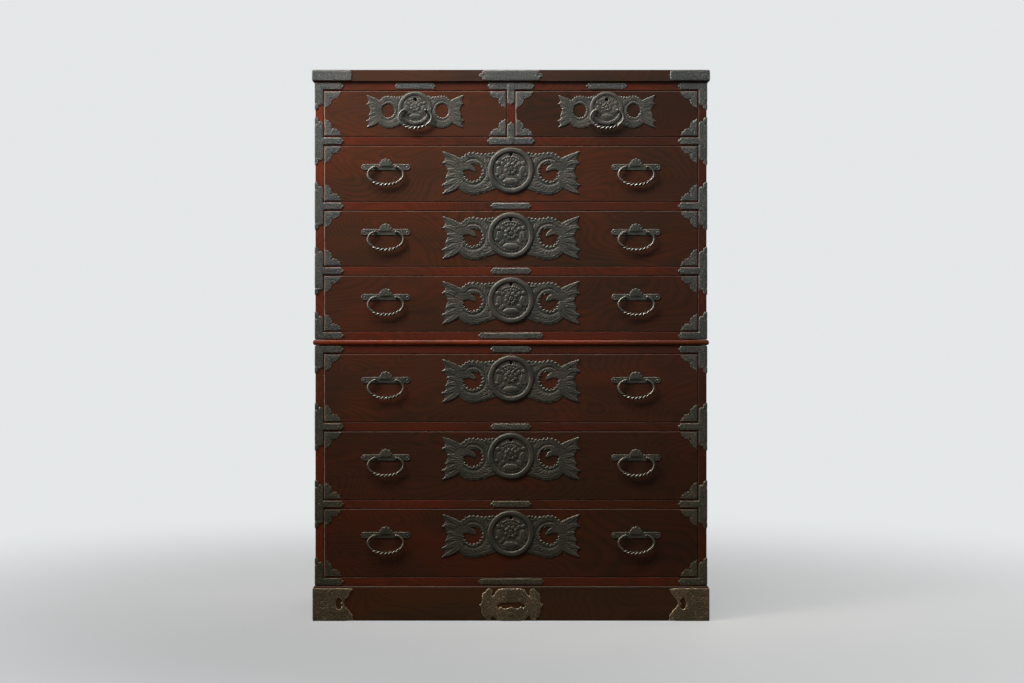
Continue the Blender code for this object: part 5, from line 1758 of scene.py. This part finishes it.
def front_shape(half, top, height, radius):
    """A drawer front at the origin, rebated for its tray and lock and bored for the key."""
    foot = FRONT_FOOT_GAP
    front = block("front", (-half, 0, foot), (half, FRONT_THICKNESS, top), radius, 3)
    side = TRAY_WALL + SEAT_GAP
    behind = FRONT_THICKNESS + PAST
    recess = LOCK_CASE_WIDTH / 2 + SEAT_GAP
    key_level = height - KEYHOLE_DROP
    cuts = (
        (-half - PAST, foot - PAST, side - half, top + PAST),
        (half - side, foot - PAST, half + PAST, top + PAST),
        (-half - PAST, foot - PAST, half + PAST, 2 * SEAT_GAP + TRAY_FLOOR),
        (-recess, top - LOCK_CASE_LENGTH - 2 * SEAT_GAP, recess, top + PAST),
    )
    tools = [block("rebate", (left, FRONT_LIP, low), (right, behind, high))
             for left, low, right, high in cuts]
    tools.append(cylinder("bore", KEY_TUBE_RADIUS + SEAT_GAP, (0, -PAST, key_level),
                          (0, FRONT_LIP + PAST, key_level)))
    cut_from(front, tools)
    mesh = front.data
    bpy.data.objects.remove(front)
    return mesh


def build_trays():
    """Trays of thin boards, pegged at the corners."""
    for number, (name, x, foot, height, width) in enumerate(DRAWERS):
        body = f"{name}_drawer"
        half = width / 2 - RUNNING_GAP
        inner = half - TRAY_WALL
        head = foot + height - DRAWER_TOP_GAP - TRAY_HEAD_ROOM
        low = foot + SEAT_GAP
        floor = low + TRAY_FLOOR
        start = FRONT_Y + FRONT_LIP + SEAT_GAP
        end = FRONT_Y + CASE_DEPTH - BACK_THICKNESS - DRAWER_BACK_GAP
        boards = Boards(300 + number)
        for way in (-1, 1):
            left, right = sorted((x + way * half, x + way * inner))
            boards.add((left, start, floor), (right, end, head), "y", TRAY_ROUND)
        boards.add((x - inner, end - TRAY_WALL, floor), (x + inner, end, head), "x", TRAY_ROUND)
        depth = (end - start) / FLOOR_PLANKS
        for k in range(FLOOR_PLANKS):
            boards.add((x - half, start + k * depth, low),
                       (x + half, start + (k + 1) * depth - PLANK_GAP, floor), "x",
                       TRAY_FLOOR_ROUND)
        dress(boards.piece(f"{name}_tray_boards"), body, "tray_wood", finish("Paulownia"),
              f"{name}_tray")
        places = [((x + way * (half - 0.0003), end - TRAY_WALL / 2, z), (way, 0, 0))
                  for way in (-1, 1) for z in np.linspace(floor + PEG_INSET, head - PEG_INSET, 4)]
        studs(f"{name}_tray_pegs", body, "tray_wood", places, TRAY_PEG_RADIUS, PEG_FLATNESS,
              finish("Back boards"), 13)


# Eye posts: how many sides they have, how far their edges are eased, half of a shank's height,
# and the relief that their colour goes by
POST_SIDES = 28
POST_EASE = 0.0007
POST_SHANK = 0.0036
POST_RELIEF = 1.3


def eye_post(x, y, z):
    """A forged eye for a bail's pin, with its shank on a plate behind it."""
    hole = BAIL_PIN_DIAMETER / 2 + PIN_CLEARANCE
    half = POST_WIDTH / 2
    shape = bmesh.new()
    rings = {}
    for k in range(POST_SIDES):
        angle = 2 * math.pi * k / POST_SIDES
        back, up = math.cos(angle), math.sin(angle)
        reach = POST_CAP
        if back > 0:
            wide = POST_SHANK / abs(up) if abs(up) > 1e-6 else 1.0
            reach = max(POST_CAP, min(BAIL_STANDOFF / back, wide))
        for label, distance, off in (
            ("outer_left", reach, -half + POST_EASE), ("outer_right", reach, half - POST_EASE),
            ("face_left", reach - POST_EASE, -half), ("face_right", reach - POST_EASE, half),
            ("hole_left", hole, -half), ("hole_right", hole, half),
        ):
            vert = shape.verts.new((x + off, y + distance * back, z + distance * up))
            rings.setdefault(label, []).append(vert)
    order = ["outer_left", "outer_right", "face_right", "hole_right", "hole_left", "face_left"]
    for first, second in zip(order, order[1:] + order[:1]):
        for k in range(POST_SIDES):
            n = (k + 1) % POST_SIDES
            shape.faces.new((rings[first][k], rings[first][n], rings[second][n], rings[second][k]))
    bmesh.ops.recalc_face_normals(shape, faces=shape.faces)
    return shape


def add_posts(piece, x, z):
    """Joins a pair of eye posts to a plate, for a bail that hangs at the given place."""
    shape = bmesh.new()
    shape.from_mesh(piece.data)
    count = len(shape.verts)
    for way in (-1, 1):
        join_shape(shape, eye_post(x + way * POST_SPREAD, FRONT_Y - BAIL_STANDOFF, z))
    layer = shape.verts.layers.float["relief"]
    for vert in shape.verts[count:]:
        vert[layer] = POST_RELIEF
    shape.to_mesh(piece.data)
    shape.free()
    shade(piece.data, 50)


# The handle plate's half length, half height and the radius of its shell, in millimetres
HANDLE_HALF = 67.0
HANDLE_RISE = 8.9
SHELL_RADIUS = 18.6


def handle_sheet():
    """A round-ended bar with a fluted shell over its middle."""
    sheet = Sheet(steps(-69, 69, 0.85), steps(-11, 27, 0.85), True)
    end = HANDLE_HALF - HANDLE_RISE
    sheet.add(sheet.bar(-5, end, HANDLE_RISE))
    sheet.add(sheet.disc(end, 0, HANDLE_RISE))
    sheet.rise += 2.2
    sheet.rise -= 0.7 * np.exp(-((sheet.disc(end, 0, 4.6) / 0.8) ** 2))
    sheet.bead(end, 0, 2.3, 2.0, 1.1)
    for v in (4.5, -4.5):
        sheet.groove([(31, v), (47, v)], 0.6, 0.35)
    angle = np.arctan2(sheet.v + 5.0, sheet.true_u)
    radius = np.hypot(sheet.true_u, sheet.v - 6.3)
    scallop = SHELL_RADIUS - 1.5 * np.abs(np.sin(8 * angle)) * (sheet.v > 2)
    gap = np.minimum(scallop - radius, sheet.v + 1.0)
    share = np.clip(radius / SHELL_RADIUS, 0, 1)
    flutes = np.abs(np.cos(8 * (angle - math.pi / 2)))
    rooted = np.clip((sheet.v + 1.0) / 5.0, 0, 1)
    height = 2.2 + rooted * (1.8 * np.sqrt(1 - share**2 * 0.8) + 1.0 * (flutes - 0.5) * share)
    sheet.add(gap)
    sheet.rise = np.where(gap > 0, np.maximum(sheet.rise, height), sheet.rise)
    return sheet.solid(0.6, 2.0, rim=0.6, hollow=0.35)


def handle_level(height):
    """How high over a drawer's foot its handles' pins are."""
    return height - DRAWER_TOP_GAP - HANDLE_DROP_SHARE * height


def build_handle_plates():
    """The plates and eyes of the large drawers' handles."""
    iron = finish("Lock iron")
    plate = Plate(handle_sheet())
    for name, x, foot, height, width in DRAWERS:
        if width < LARGE_WIDTH:
            continue
        z = foot + handle_level(height)
        for way, label in SIDES:
            centre = way * HANDLE_SPREAD
            piece = plate_piece(f"{name}_handle_plate_{label}",
                                [plate.arrays((centre, FRONT_Y, z))])
            add_posts(piece, centre, z)
            dress(piece, f"{name}_drawer", "fitting_iron", iron)


# A bail's bar: its radius at the shoulders, how much thicker it is at the bottom, how deep in the
# curve the grip starts and is full, the length its twist is measured by, and its turns
BAR_RADIUS = 0.0030
BAR_SWELL = 0.0021
GRIP_START = 0.62
GRIP_BLEND = 0.10
TWIST_LENGTH = 0.075
TWIST_TURNS = 3.6


def bail_points(half_width, count=168):
    """Points from one pin's end to the other's, with the bar's radius and the grip there."""
    inner = POST_SPREAD - POST_WIDTH / 2 - BAIL_PIN_END
    outer = POST_SPREAD + POST_WIDTH / 2 + BAIL_PIN_END
    lower = BAIL_DROP - BAIL_SHOULDER_DROP
    upper = BAIL_SHOULDER_DROP / math.sqrt(1 - (outer / half_width) ** 2)
    start = math.acos(-outer / half_width)
    turn = 2 * (1.5 * math.pi - start)
    pin = BAIL_PIN_DIAMETER / 2
    points = [(-inner, 0.0, pin * 0.9, 0.0), (-outer, 0.0, pin, 0.0)]
    for k in range(1, count):
        angle = start + turn * k / count
        rise = upper if math.sin(angle) > 0 else lower
        depth = max(0.0, -math.sin(angle))
        radius = BAR_RADIUS + BAR_SWELL * depth**3
        grip = min(1.0, max(0.0, (depth - GRIP_START) / GRIP_BLEND))
        z = -BAIL_SHOULDER_DROP + rise * math.sin(angle)
        points.append((half_width * math.cos(angle), z, radius, grip))
    return points + [(outer, 0.0, pin, 0.0), (inner, 0.0, pin * 0.9, 0.0)]


def bail_shape(half_width, strands):
    """The mesh of one bail, hanging from the origin."""
    points = bail_points(half_width)
    mesh = bpy.data.meshes.new("bail")
    edges = [(k, k + 1) for k in range(len(points) - 1)]
    mesh.from_pydata([(u, 0, v) for u, v, _, _ in points], edges, [])
    run = np.cumsum([0.0] + [math.dist(points[a][:2], points[b][:2]) for a, b in edges])
    write_values(mesh, "thickness", [radius for _, _, radius, _ in points])
    write_values(mesh, "grip", [grip for *_, grip in points])
    write_values(mesh, "run", (run - run[-1] / 2) / TWIST_LENGTH)
    shape = grown("bail_shape", mesh, bail_tree(),
                  {"Strands": strands, "Turns": TWIST_TURNS, "Finish": finish("Bail iron")})
    mesh = shape.data
    bpy.data.objects.remove(shape)
    return mesh


def build_bails(sizes):
    """The bails of all drawers."""
    iron = finish("Bail iron")
    small_shape, large_shape = (bail_shape(half_width, sizes.grip_strands)
                                for half_width in (SMALL_BAIL_HALF_WIDTH, LARGE_BAIL_HALF_WIDTH))
    for name, x, foot, height, width in DRAWERS:
        if width < LARGE_WIDTH:
            shape, places = small_shape, [(f"{name}_bail", x, height - SMALL_BAIL_DROP_FROM_TOP)]
        else:
            shape, places = large_shape, [
                (f"{name}_bail_{label}", way * HANDLE_SPREAD, handle_level(height))
                for way, label in SIDES
            ]
        for body, centre, level in places:
            piece = mesh_object(f"{body}_bar", shape.copy())
            piece.data.transform(Matrix.Translation(
                (centre, FRONT_Y - BAIL_STANDOFF, foot + level)))
            dress(piece, body, "bail_iron", iron, body)
    for shape in (small_shape, large_shape):
        bpy.data.meshes.remove(shape)


# Locks: the scrollwork is drawn for a large lock, from its medallion's centre

# Size of the small locks' scrolls beside the large ones' across and up, and how far the middle of
# each is below its medallion's centre
SMALL_LOCK_SCALE = (133.0 / 188.0, 44.5 / 58.5)
SMALL_SCROLL_DROP = 9.5
SCROLL_DROP = 8.0
KEYHOLE_RADIUS = 0.0044
# How high the scrolls stand
SCROLL_BASE = 1.6
LOCK_BODY = [
    (0, 47), (44, 48), (55, 46), (66, 44), (76, 43), (86, 44), (96, 46.5), (105, 48), (114, 47),
    (122, 44), (128, 38.5), (132.5, 33), (138, 34.5), (145, 37), (153, 38.5), (162, 41),
    (173, 46), (185, 50.7), (182, 41), (177.5, 33), (180, 26), (186.7, 19.5), (179, 16),
    (177, 11.4), (171.5, 4), (170.5, -5), (175, -13), (177.5, -20), (175, -27), (177, -32),
    (188, -40), (181, -46), (177.6, -51), (181, -57), (185.4, -63), (177, -62), (170.5, -58),
    (159.6, -50.5), (152, -45), (146, -42), (140, -49), (132.5, -56), (119, -63), (100, -66),
    (84, -63), (59, -56), (43, -51), (0, -52),
]
LOCK_KNOBS = [
    (49, 46.5, 3.2), (58, 44.8, 3.4), (68, 43.6, 3.6), (78.5, 43.6, 3.8), (89.5, 45.2, 3.9),
    (101, 46.6, 4.0), (112, 46, 3.8), (122, 42, 3.6), (130, 35.5, 3.3),
]
LOCK_FOOT_LOBES = ((72, -58, 4.5), (90, -62, 4.8), (108, -62.5, 4.5), (124, -57.5, 4.2))


def scroll_work(sheet, base=SCROLL_BASE, eye=27.0, billed=True):
    """Leaf scrolls on both sides of the medallion, pierced by a round eye."""
    sheet.add(sheet.polygon(both_halves(LOCK_BODY)), base)
    for u, v, radius in LOCK_FOOT_LOBES:
        sheet.add(sheet.disc(u, v, radius), base)
    eye_u, eye_v = 103.0, -4.0
    away = np.hypot(sheet.u - eye_u, sheet.v - eye_v)
    around = np.arctan2(sheet.v - eye_v, sheet.u - eye_u)
    sheet.cut(eye - away)
    # Bands round the eye: beads, a hollow, then feathers
    inner = np.exp(-(((away - 29.5) / 3.0) ** 2)) * (0.70 + 0.45 * np.cos(34 * around))
    hollow = -0.55 * np.exp(-(((away - 34.8) / 2.0) ** 2))
    feather = 0.5 + 0.5 * np.cos(30 * around + 0.42 * (away - 37))
    outer = np.where((away > 36) & (away < 56),
                     (0.60 + 0.60 * feather) * np.exp(-(((away - 44.5) / 6.5) ** 4)), 0)
    sheet.rise = sheet.rise + np.where(sheet.gap > 0, inner + hollow + outer, 0)
    # Acanthus leaves over and under the eye, and the fan at the end
    for path, width in (
        ([(140, -20), (134, 12), (120, 34), (94, 42), (66, 38), (47, 36)], 7.5),
        ([(140, -8), (130, -42), (106, -56), (80, -54), (58, -46), (48, -34)], 8.0),
    ):
        sheet.leaf(path, width, base, 1.35, 7)
    for path, width in (
        ([(132, 14), (147, 29), (163, 39), (185, 50.5)], 10.5),
        ([(132, 4), (150, 15), (168, 22), (187, 19.5)], 9.5),
        ([(136, -5), (150, -1), (162, 1), (173, 3)], 8.2),
        ([(136, -14), (150, -14), (164, -15), (178, -21)], 8.6),
        ([(134, -22), (152, -29), (168, -35), (188, -40)], 9.8),
        ([(132, -26), (148, -42), (164, -53), (185.5, -63)], 10.5),
    ):
        sheet.leaf(path, width, base, 1.35, 6, scallop=0.14, rib=0.30)
    for path, width in (
        ([(142, 8), (127, 11), (112, 9), (95, -2)], 15.0),
        ([(118, 19), (106, 21), (96, 20), (88, 14)], 4.4),
    ) * billed:
        sheet.leaf(path, width, base - 0.4, 1.2, 3, scallop=0.12, start=0.9, rib=0.15)
    for degrees in range(-208, -5, 22):
        angle = math.radians(degrees)
        size = 3.9 if -170 < degrees < -80 else 2.7
        sheet.bead(eye_u + 26.5 * math.cos(angle), eye_v + 26.5 * math.sin(angle), size, base,
                   0.4 * size, shape=True)
    for u, v, radius in LOCK_KNOBS:
        sheet.bead(u, v, radius, base, 1.7, shape=True)
    sheet.leaf([(52, -30), (60, -38), (68, -41), (77, -44)], 5.5, base, 1.8, 3, False, 0.1)
    sheet.leaf([(56, 14), (60, 2), (60, -12), (56, -22)], 5.5, base, 1.5, 4, False)
    sheet.spiral(70, 30, 7.5, turn=3.6, way=-1, width=1.1, depth=0.7)


# The radius of the large medallion, which both are drawn by
MEDALLION_RADIUS = 63.0
# Leaves at the sides of the bloom: across, up, half width, half height and slant in degrees
MEDALLION_LEAVES = [
    (31, -3, 14, 7.5, 82), (24, -19, 9, 5.5, -48), (34, 19, 6.5, 5.0, 20), (22, 17, 6, 4.2, 70),
    (38, -13, 5, 4.0, 60),
]
# Rows of beads, as radius, first and last angle in degrees, count and size of a bead
MEDALLION_BEADS = [
    (36.5, 54, 126, 8, 3.2), (29.2, 62, 118, 5, 3.0), (24.5, 68, 112, 3, 2.6),
    (42.0, -112, -68, 6, 2.6),
]


def medallion(sheet, radius, ring_rise, field_rise, knobs=True):
    """A ringed boss with a peony in leaves, all worked on a circular field."""
    unit = radius / MEDALLION_RADIUS
    u, v = sheet.true_u / unit, sheet.true_v / unit
    away = np.hypot(u, v)
    gap = (MEDALLION_RADIUS - away) * unit
    ring = np.clip(1 - np.abs((away - 55.4) / 7.6) ** 3, 0, 1)
    rise = np.where(away < 47.4, field_rise - 0.3 * (away / 47.4) ** 2, 0)
    rise = np.where(away >= 47.0, np.maximum(rise, 1.2 + (ring_rise - 1.2) * np.sqrt(ring)), rise)
    power = unit * (0.85 if knobs else 0.6)

    def raise_to(inside, height):
        return np.where(inside > 0, np.maximum(rise, field_rise + power * height), rise)

    def dome(place_u, place_v, wide, high, slant=0.0):
        c, s = math.cos(math.radians(slant)), math.sin(math.radians(slant))
        along = c * (u - place_u) + s * (v - place_v)
        across = c * (v - place_v) - s * (u - place_u)
        return 1 - (along / wide) ** 2 - (across / high) ** 2, along, across

    for place_u, place_v, wide, high, slant in MEDALLION_LEAVES:
        for way in (-1, 1):
            inside, along, across = dome(way * place_u, place_v, wide, high, way * slant)
            ribs = 0.2 * np.cos(1.7 * (along - way * 0.8 * np.abs(across)))
            ribs = ribs - 0.7 * np.exp(-across**2)
            rise = raise_to(inside, 0.4 + (1.4 + ribs) * bulge(inside))
    for reach, first, last, count, size in MEDALLION_BEADS:
        for angle in np.radians(np.linspace(first, last, count)):
            inside = dome(reach * math.cos(angle), reach * math.sin(angle), size, size)[0]
            rise = raise_to(inside, 0.4 + bulge(inside))
    # Bud below the bloom
    inside, along, _ = dome(0, -30.5, 21.5, 9.5)
    rise = raise_to(inside, (2.7 + 0.2 * np.cos(along * 0.42)) * bulge(inside) + 0.3)
    # Bloom: petals, a hollow ring, then a tight centre that stands higher
    for reach, count, size, low, high, phase in ((13.2, 8, 6.4, 0.3, 2.1, 0.5),
                                                 (3.9, 5, 3.6, 1.2, 1.9, 0.0)):
        for k in range(count):
            angle = 2 * math.pi * (k + phase) / count + math.pi / 2
            inside = dome(reach * math.cos(angle), 4.5 + 0.92 * reach * math.sin(angle),
                          0.9 * size, 0.8 * size, math.degrees(angle))[0]
            cup = 0.3 * np.cos(2.2 * bulge(1 - inside) + 0.6)
            rise = raise_to(inside, low + high * bulge(inside) - cup)
        if reach > 10:
            crease = np.abs(np.hypot(u, (v - 4.5) / 0.92) - 7.6)
            rise = np.where(crease < 1.2, field_rise + 0.1, rise)
    work = np.minimum(rise, ring_rise + 0.2)
    sheet.add(gap)
    sheet.rise = np.where(gap > 0, work, sheet.rise - 0.5 * np.exp(-((gap + 1.0) ** 2)))


def lock_sheet(small):
    """The pierced face of a lock, with its medallion and keyhole."""
    if small:
        sheet = Sheet(steps(-136, 136, 0.95), steps(-57, 49, 0.95), True, SMALL_LOCK_SCALE)
        up = SMALL_LOCK_SCALE[1]
        sheet.v = (sheet.true_v + SMALL_SCROLL_DROP - SCROLL_DROP * up) / up
        scroll_work(sheet, eye=25.0, billed=False)
        sheet.rise = SCROLL_BASE + (sheet.rise - SCROLL_BASE) * 0.5
        medallion(sheet, 46.0, 3.3, 2.0, False)
    else:
        sheet = Sheet(steps(-191, 191, 1.0), steps(-69, 65, 1.0), True)
        scroll_work(sheet)
        medallion(sheet, MEDALLION_RADIUS, 5.6, 2.8)
    key_level = 1000 * ((SMALL_MEDALLION_DROP if small else MEDALLION_DROP) - KEYHOLE_DROP)
    away = np.hypot(sheet.true_u, sheet.true_v - key_level)
    sheet.cut(1000 * KEYHOLE_RADIUS - away)
    return sheet.solid(0.6, 2.3, rim=0.9)


def build_lock_plates():
    """The lock plates, those of the small drawers with the eyes of their bails."""
    iron = finish("Lock iron")
    plates = {small: Plate(lock_sheet(small)) for small in (True, False)}
    for name, x, foot, height, width in DRAWERS:
        small = width < LARGE_WIDTH
        z = foot + height - (SMALL_MEDALLION_DROP if small else MEDALLION_DROP)
        piece = plate_piece(f"{name}_lock_plate",
                            [plates[small].arrays((x, FRONT_Y - SEAT_GAP, z))])
        if small:
            add_posts(piece, x, foot + height - SMALL_BAIL_DROP_FROM_TOP)
        dress(piece, f"{name}_drawer", "lock_iron", iron, f"{name}_lock")


# Rounding of a lock case and its bolt, and how far the key tube stands out and is rooted inside
LOCK_CASE_ROUND = 0.0006
BOLT_ROUND = 0.0008
TUBE_STAND = 0.0005
TUBE_ROOT = 0.0006


def build_lock_works():
    """Lock cases behind the fronts, with their key tubes, and the bolts that slide in them."""
    half = LOCK_CASE_WIDTH / 2
    inside = FRONT_Y + FRONT_LIP + SEAT_GAP
    behind = FRONT_Y + FRONT_THICKNESS
    bolt_front = FRONT_Y + BOLT_Y
    for name, x, foot, height, width in DRAWERS:
        top = foot + height - DRAWER_TOP_GAP - SEAT_GAP
        key_level = foot + height - KEYHOLE_DROP
        case = block(f"{name}_lock_case", (x - half, inside, top - LOCK_CASE_LENGTH),
                     (x + half, behind, top), LOCK_CASE_ROUND)
        tube = cylinder("tube", KEY_TUBE_RADIUS, (x, FRONT_Y - TUBE_STAND, key_level),
                        (x, inside + TUBE_ROOT, key_level))
        cut_from(case, [tube], "UNION")
        tools = [
            bolt_room("slot", x, top - BOLT_LENGTH - SEAT_GAP, top + PAST),
            cylinder("keyway", KEYHOLE_RADIUS, (x, FRONT_Y - PAST, key_level),
                     (x, bolt_front, key_level), 16),
        ]
        planed(cut_from(case, tools))
        dress(case, f"{name}_drawer", "lock_iron", finish("Bolt iron"))
        bolt = block(f"{name}_bolt_bar", (x - BOLT_WIDTH / 2, bolt_front, top - BOLT_LENGTH),
                     (x + BOLT_WIDTH / 2, bolt_front + BOLT_THICKNESS, top), BOLT_ROUND, 3)
        planed(bolt)
        dress(bolt, f"{name}_bolt", "bolt_iron", finish("Bolt iron"), f"{name}_bolt")


# Stage


def build_stage(sizes):
    """The world, lights, camera and floor."""
    scene = bpy.context.scene
    scene.view_settings.view_transform = "Standard"
    world = bpy.data.worlds.new("Studio")
    scene.world = world
    world.use_nodes = True
    tree = world.node_tree
    tree.nodes.clear()
    seen = node(tree, "ShaderNodeBackground", {"Color": BACKDROP, "Strength": 1.0})
    lit = node(tree, "ShaderNodeBackground", {"Color": (0.93, 0.96, 1.0, 1), "Strength": 0.13})
    path = tree.nodes.new("ShaderNodeLightPath")
    both = node(tree, "ShaderNodeMixShader", {
        0: path.outputs["Is Camera Ray"], 1: lit.outputs[0], 2: seen.outputs[0]})
    out = tree.nodes.new("ShaderNodeOutputWorld")
    tree.links.new(both.outputs[0], out.inputs["Surface"])
    high, middle = (0.0, FRONT_Y, 1.38), (0.0, FRONT_Y, 0.9)
    # Name, place, aim, spread in degrees, size, share of the key light's power, and colour
    lights = (
        ("key", (-1.7, -1.55, 2.9), high, 58, (1.0, 1.0), 0.75, (1.0, 0.98, 0.95)),
        ("window", (-3.0, -0.95, 1.45), high, 84, (0.9, 1.9), 0.70, (0.95, 0.98, 1.0)),
        ("ceiling", (-0.35, -1.2, 3.1), high, 62, (2.2, 0.5), 0.58, (1.0, 0.98, 0.95)),
        ("fill", (3.4, -3.2, 1.6), middle, 120, (2.2, 2.2), 0.12, (0.95, 0.97, 1.0)),
        ("side", (3.1, 1.3, 1.9), middle, 70, (0.9, 1.6), 0.42, (1.0, 0.98, 0.95)),
        ("back", (1.4, 3.6, 2.4), middle, 120, (2.4, 2.4), 1.6, (0.95, 0.97, 1.0)),
    )
    for label, place, aim, spread, size, share, colour in lights:
        light = bpy.data.lights.new(label, "AREA")
        light.shape = "RECTANGLE"
        light.size, light.size_y = size
        light.energy, light.color = share * sizes.key_power, colour
        light.spread = math.radians(spread)
        lamp = bpy.data.objects.new(label, light)
        scene.collection.objects.link(lamp)
        lamp.location = place
        lamp.rotation_euler = (Vector(aim) - Vector(place)).to_track_quat("-Z", "Y").to_euler()
    camera = bpy.data.cameras.new("photo_camera")
    camera.lens = CAMERA_LENS
    camera.sensor_width = 36
    camera.clip_end = 100
    eye = bpy.data.objects.new("photo_camera", camera)
    scene.collection.objects.link(eye)
    eye.location = (CAMERA_X, FRONT_Y - CAMERA_DISTANCE, CAMERA_HEIGHT)
    eye.rotation_euler = (math.pi / 2, 0, 0)
    scene.camera = eye
    floor = block("studio_floor", (-14, -14, -0.04), (14, 14, -0.0002), 0.01)
    floor.data.materials.append(finish("Studio floor"))


# Operators, one for each group of like pieces


class TANSU_OT_stage(bpy.types.Operator):
    """Set up floor, lights and camera"""

    bl_idname = "tansu.stage"
    bl_label = "Stage"

    def execute(self, context):
        build_stage(context.scene.tansu_sizes)
        return {"FINISHED"}


class TANSU_OT_plinth(bpy.types.Operator):
    """Build the mitred base"""

    bl_idname = "tansu.plinth"
    bl_label = "Plinth"

    def execute(self, context):
        build_plinth()
        return {"FINISHED"}


class TANSU_OT_cases(bpy.types.Operator):
    """Build sides, rails, dust boards and backs"""

    bl_idname = "tansu.cases"
    bl_label = "Cases"

    def execute(self, context):
        build_cases(context.scene.tansu_sizes)
        return {"FINISHED"}


class TANSU_OT_partition(bpy.types.Operator):
    """Build the post between the small drawers"""

    bl_idname = "tansu.partition"
    bl_label = "Partition"

    def execute(self, context):
        build_partition(context.scene.tansu_sizes)
        return {"FINISHED"}


class TANSU_OT_waist(bpy.types.Operator):
    """Build the moulding between the cases"""

    bl_idname = "tansu.waist"
    bl_label = "Waist moulding"

    def execute(self, context):
        build_waist()
        return {"FINISHED"}


class TANSU_OT_top(bpy.types.Operator):
    """Build the top board"""

    bl_idname = "tansu.top"
    bl_label = "Top board"

    def execute(self, context):
        build_top()
        return {"FINISHED"}


class TANSU_OT_case_irons(bpy.types.Operator):
    """Build the straps and corner irons of the cases"""

    bl_idname = "tansu.case_irons"
    bl_label = "Case irons"

    def execute(self, context):
        build_case_irons(context.scene.tansu_sizes)
        return {"FINISHED"}


class TANSU_OT_plinth_irons(bpy.types.Operator):
    """Build the plates on the base"""

    bl_idname = "tansu.plinth_irons"
    bl_label = "Plinth irons"

    def execute(self, context):
        build_plinth_irons(context.scene.tansu_sizes)
        return {"FINISHED"}


class TANSU_OT_fronts(bpy.types.Operator):
    """Build the fronts with their corner irons"""

    bl_idname = "tansu.fronts"
    bl_label = "Drawer fronts"

    def execute(self, context):
        build_fronts(context.scene.tansu_sizes)
        return {"FINISHED"}


class TANSU_OT_trays(bpy.types.Operator):
    """Build the trays behind the fronts"""

    bl_idname = "tansu.trays"
    bl_label = "Drawer trays"

    def execute(self, context):
        build_trays()
        return {"FINISHED"}


class TANSU_OT_lock_plates(bpy.types.Operator):
    """Build the pierced lock plates and medallions"""

    bl_idname = "tansu.lock_plates"
    bl_label = "Lock plates"

    def execute(self, context):
        build_lock_plates()
        return {"FINISHED"}


class TANSU_OT_lock_works(bpy.types.Operator):
    """Build the lock cases and bolts"""

    bl_idname = "tansu.lock_works"
    bl_label = "Lock works"

    def execute(self, context):
        build_lock_works()
        return {"FINISHED"}


class TANSU_OT_handle_plates(bpy.types.Operator):
    """Build the plates and eyes of the handles"""

    bl_idname = "tansu.handle_plates"
    bl_label = "Handle plates"

    def execute(self, context):
        build_handle_plates()
        return {"FINISHED"}


class TANSU_OT_bails(bpy.types.Operator):
    """Build the twisted bail handles"""

    bl_idname = "tansu.bails"
    bl_label = "Bails"

    def execute(self, context):
        build_bails(context.scene.tansu_sizes)
        return {"FINISHED"}


OPERATORS = (
    TANSU_OT_stage, TANSU_OT_plinth, TANSU_OT_cases, TANSU_OT_partition, TANSU_OT_waist,
    TANSU_OT_top, TANSU_OT_case_irons, TANSU_OT_plinth_irons, TANSU_OT_fronts, TANSU_OT_trays,
    TANSU_OT_lock_plates, TANSU_OT_lock_works, TANSU_OT_handle_plates, TANSU_OT_bails,
)


class TANSU_PT_pieces(bpy.types.Panel):
    """Lists the pieces of the chest and the values that they use."""

    bl_label = "Clothing tansu"
    bl_idname = "TANSU_PT_pieces"
    bl_space_type = "VIEW_3D"
    bl_region_type = "UI"
    bl_category = "Tansu"

    def draw(self, context):
        for group in (context.scene.tansu_sizes, context.scene.tansu_colours):
            box = self.layout.box()
            for key in group.bl_rna.properties.keys():
                if key not in ("rna_type", "name"):
                    box.prop(group, key)
        for kind in OPERATORS:
            self.layout.operator(kind.bl_idname)


CLASSES = [TansuSizes, TansuColours, *OPERATORS, TANSU_PT_pieces]


def register():
    for kind in CLASSES:
        bpy.utils.register_class(kind)
    bpy.types.Scene.tansu_sizes = PointerProperty(type=TansuSizes)
    bpy.types.Scene.tansu_colours = PointerProperty(type=TansuColours)


def unregister():
    del bpy.types.Scene.tansu_colours
    del bpy.types.Scene.tansu_sizes
    for kind in reversed(CLASSES):
        bpy.utils.unregister_class(kind)


def main():
    """Builds everything by the operators, in their order."""
    register()
    for kind in OPERATORS:
        getattr(bpy.ops.tansu, kind.bl_idname.split(".")[1])()


if __name__ == "__main__":
    main()
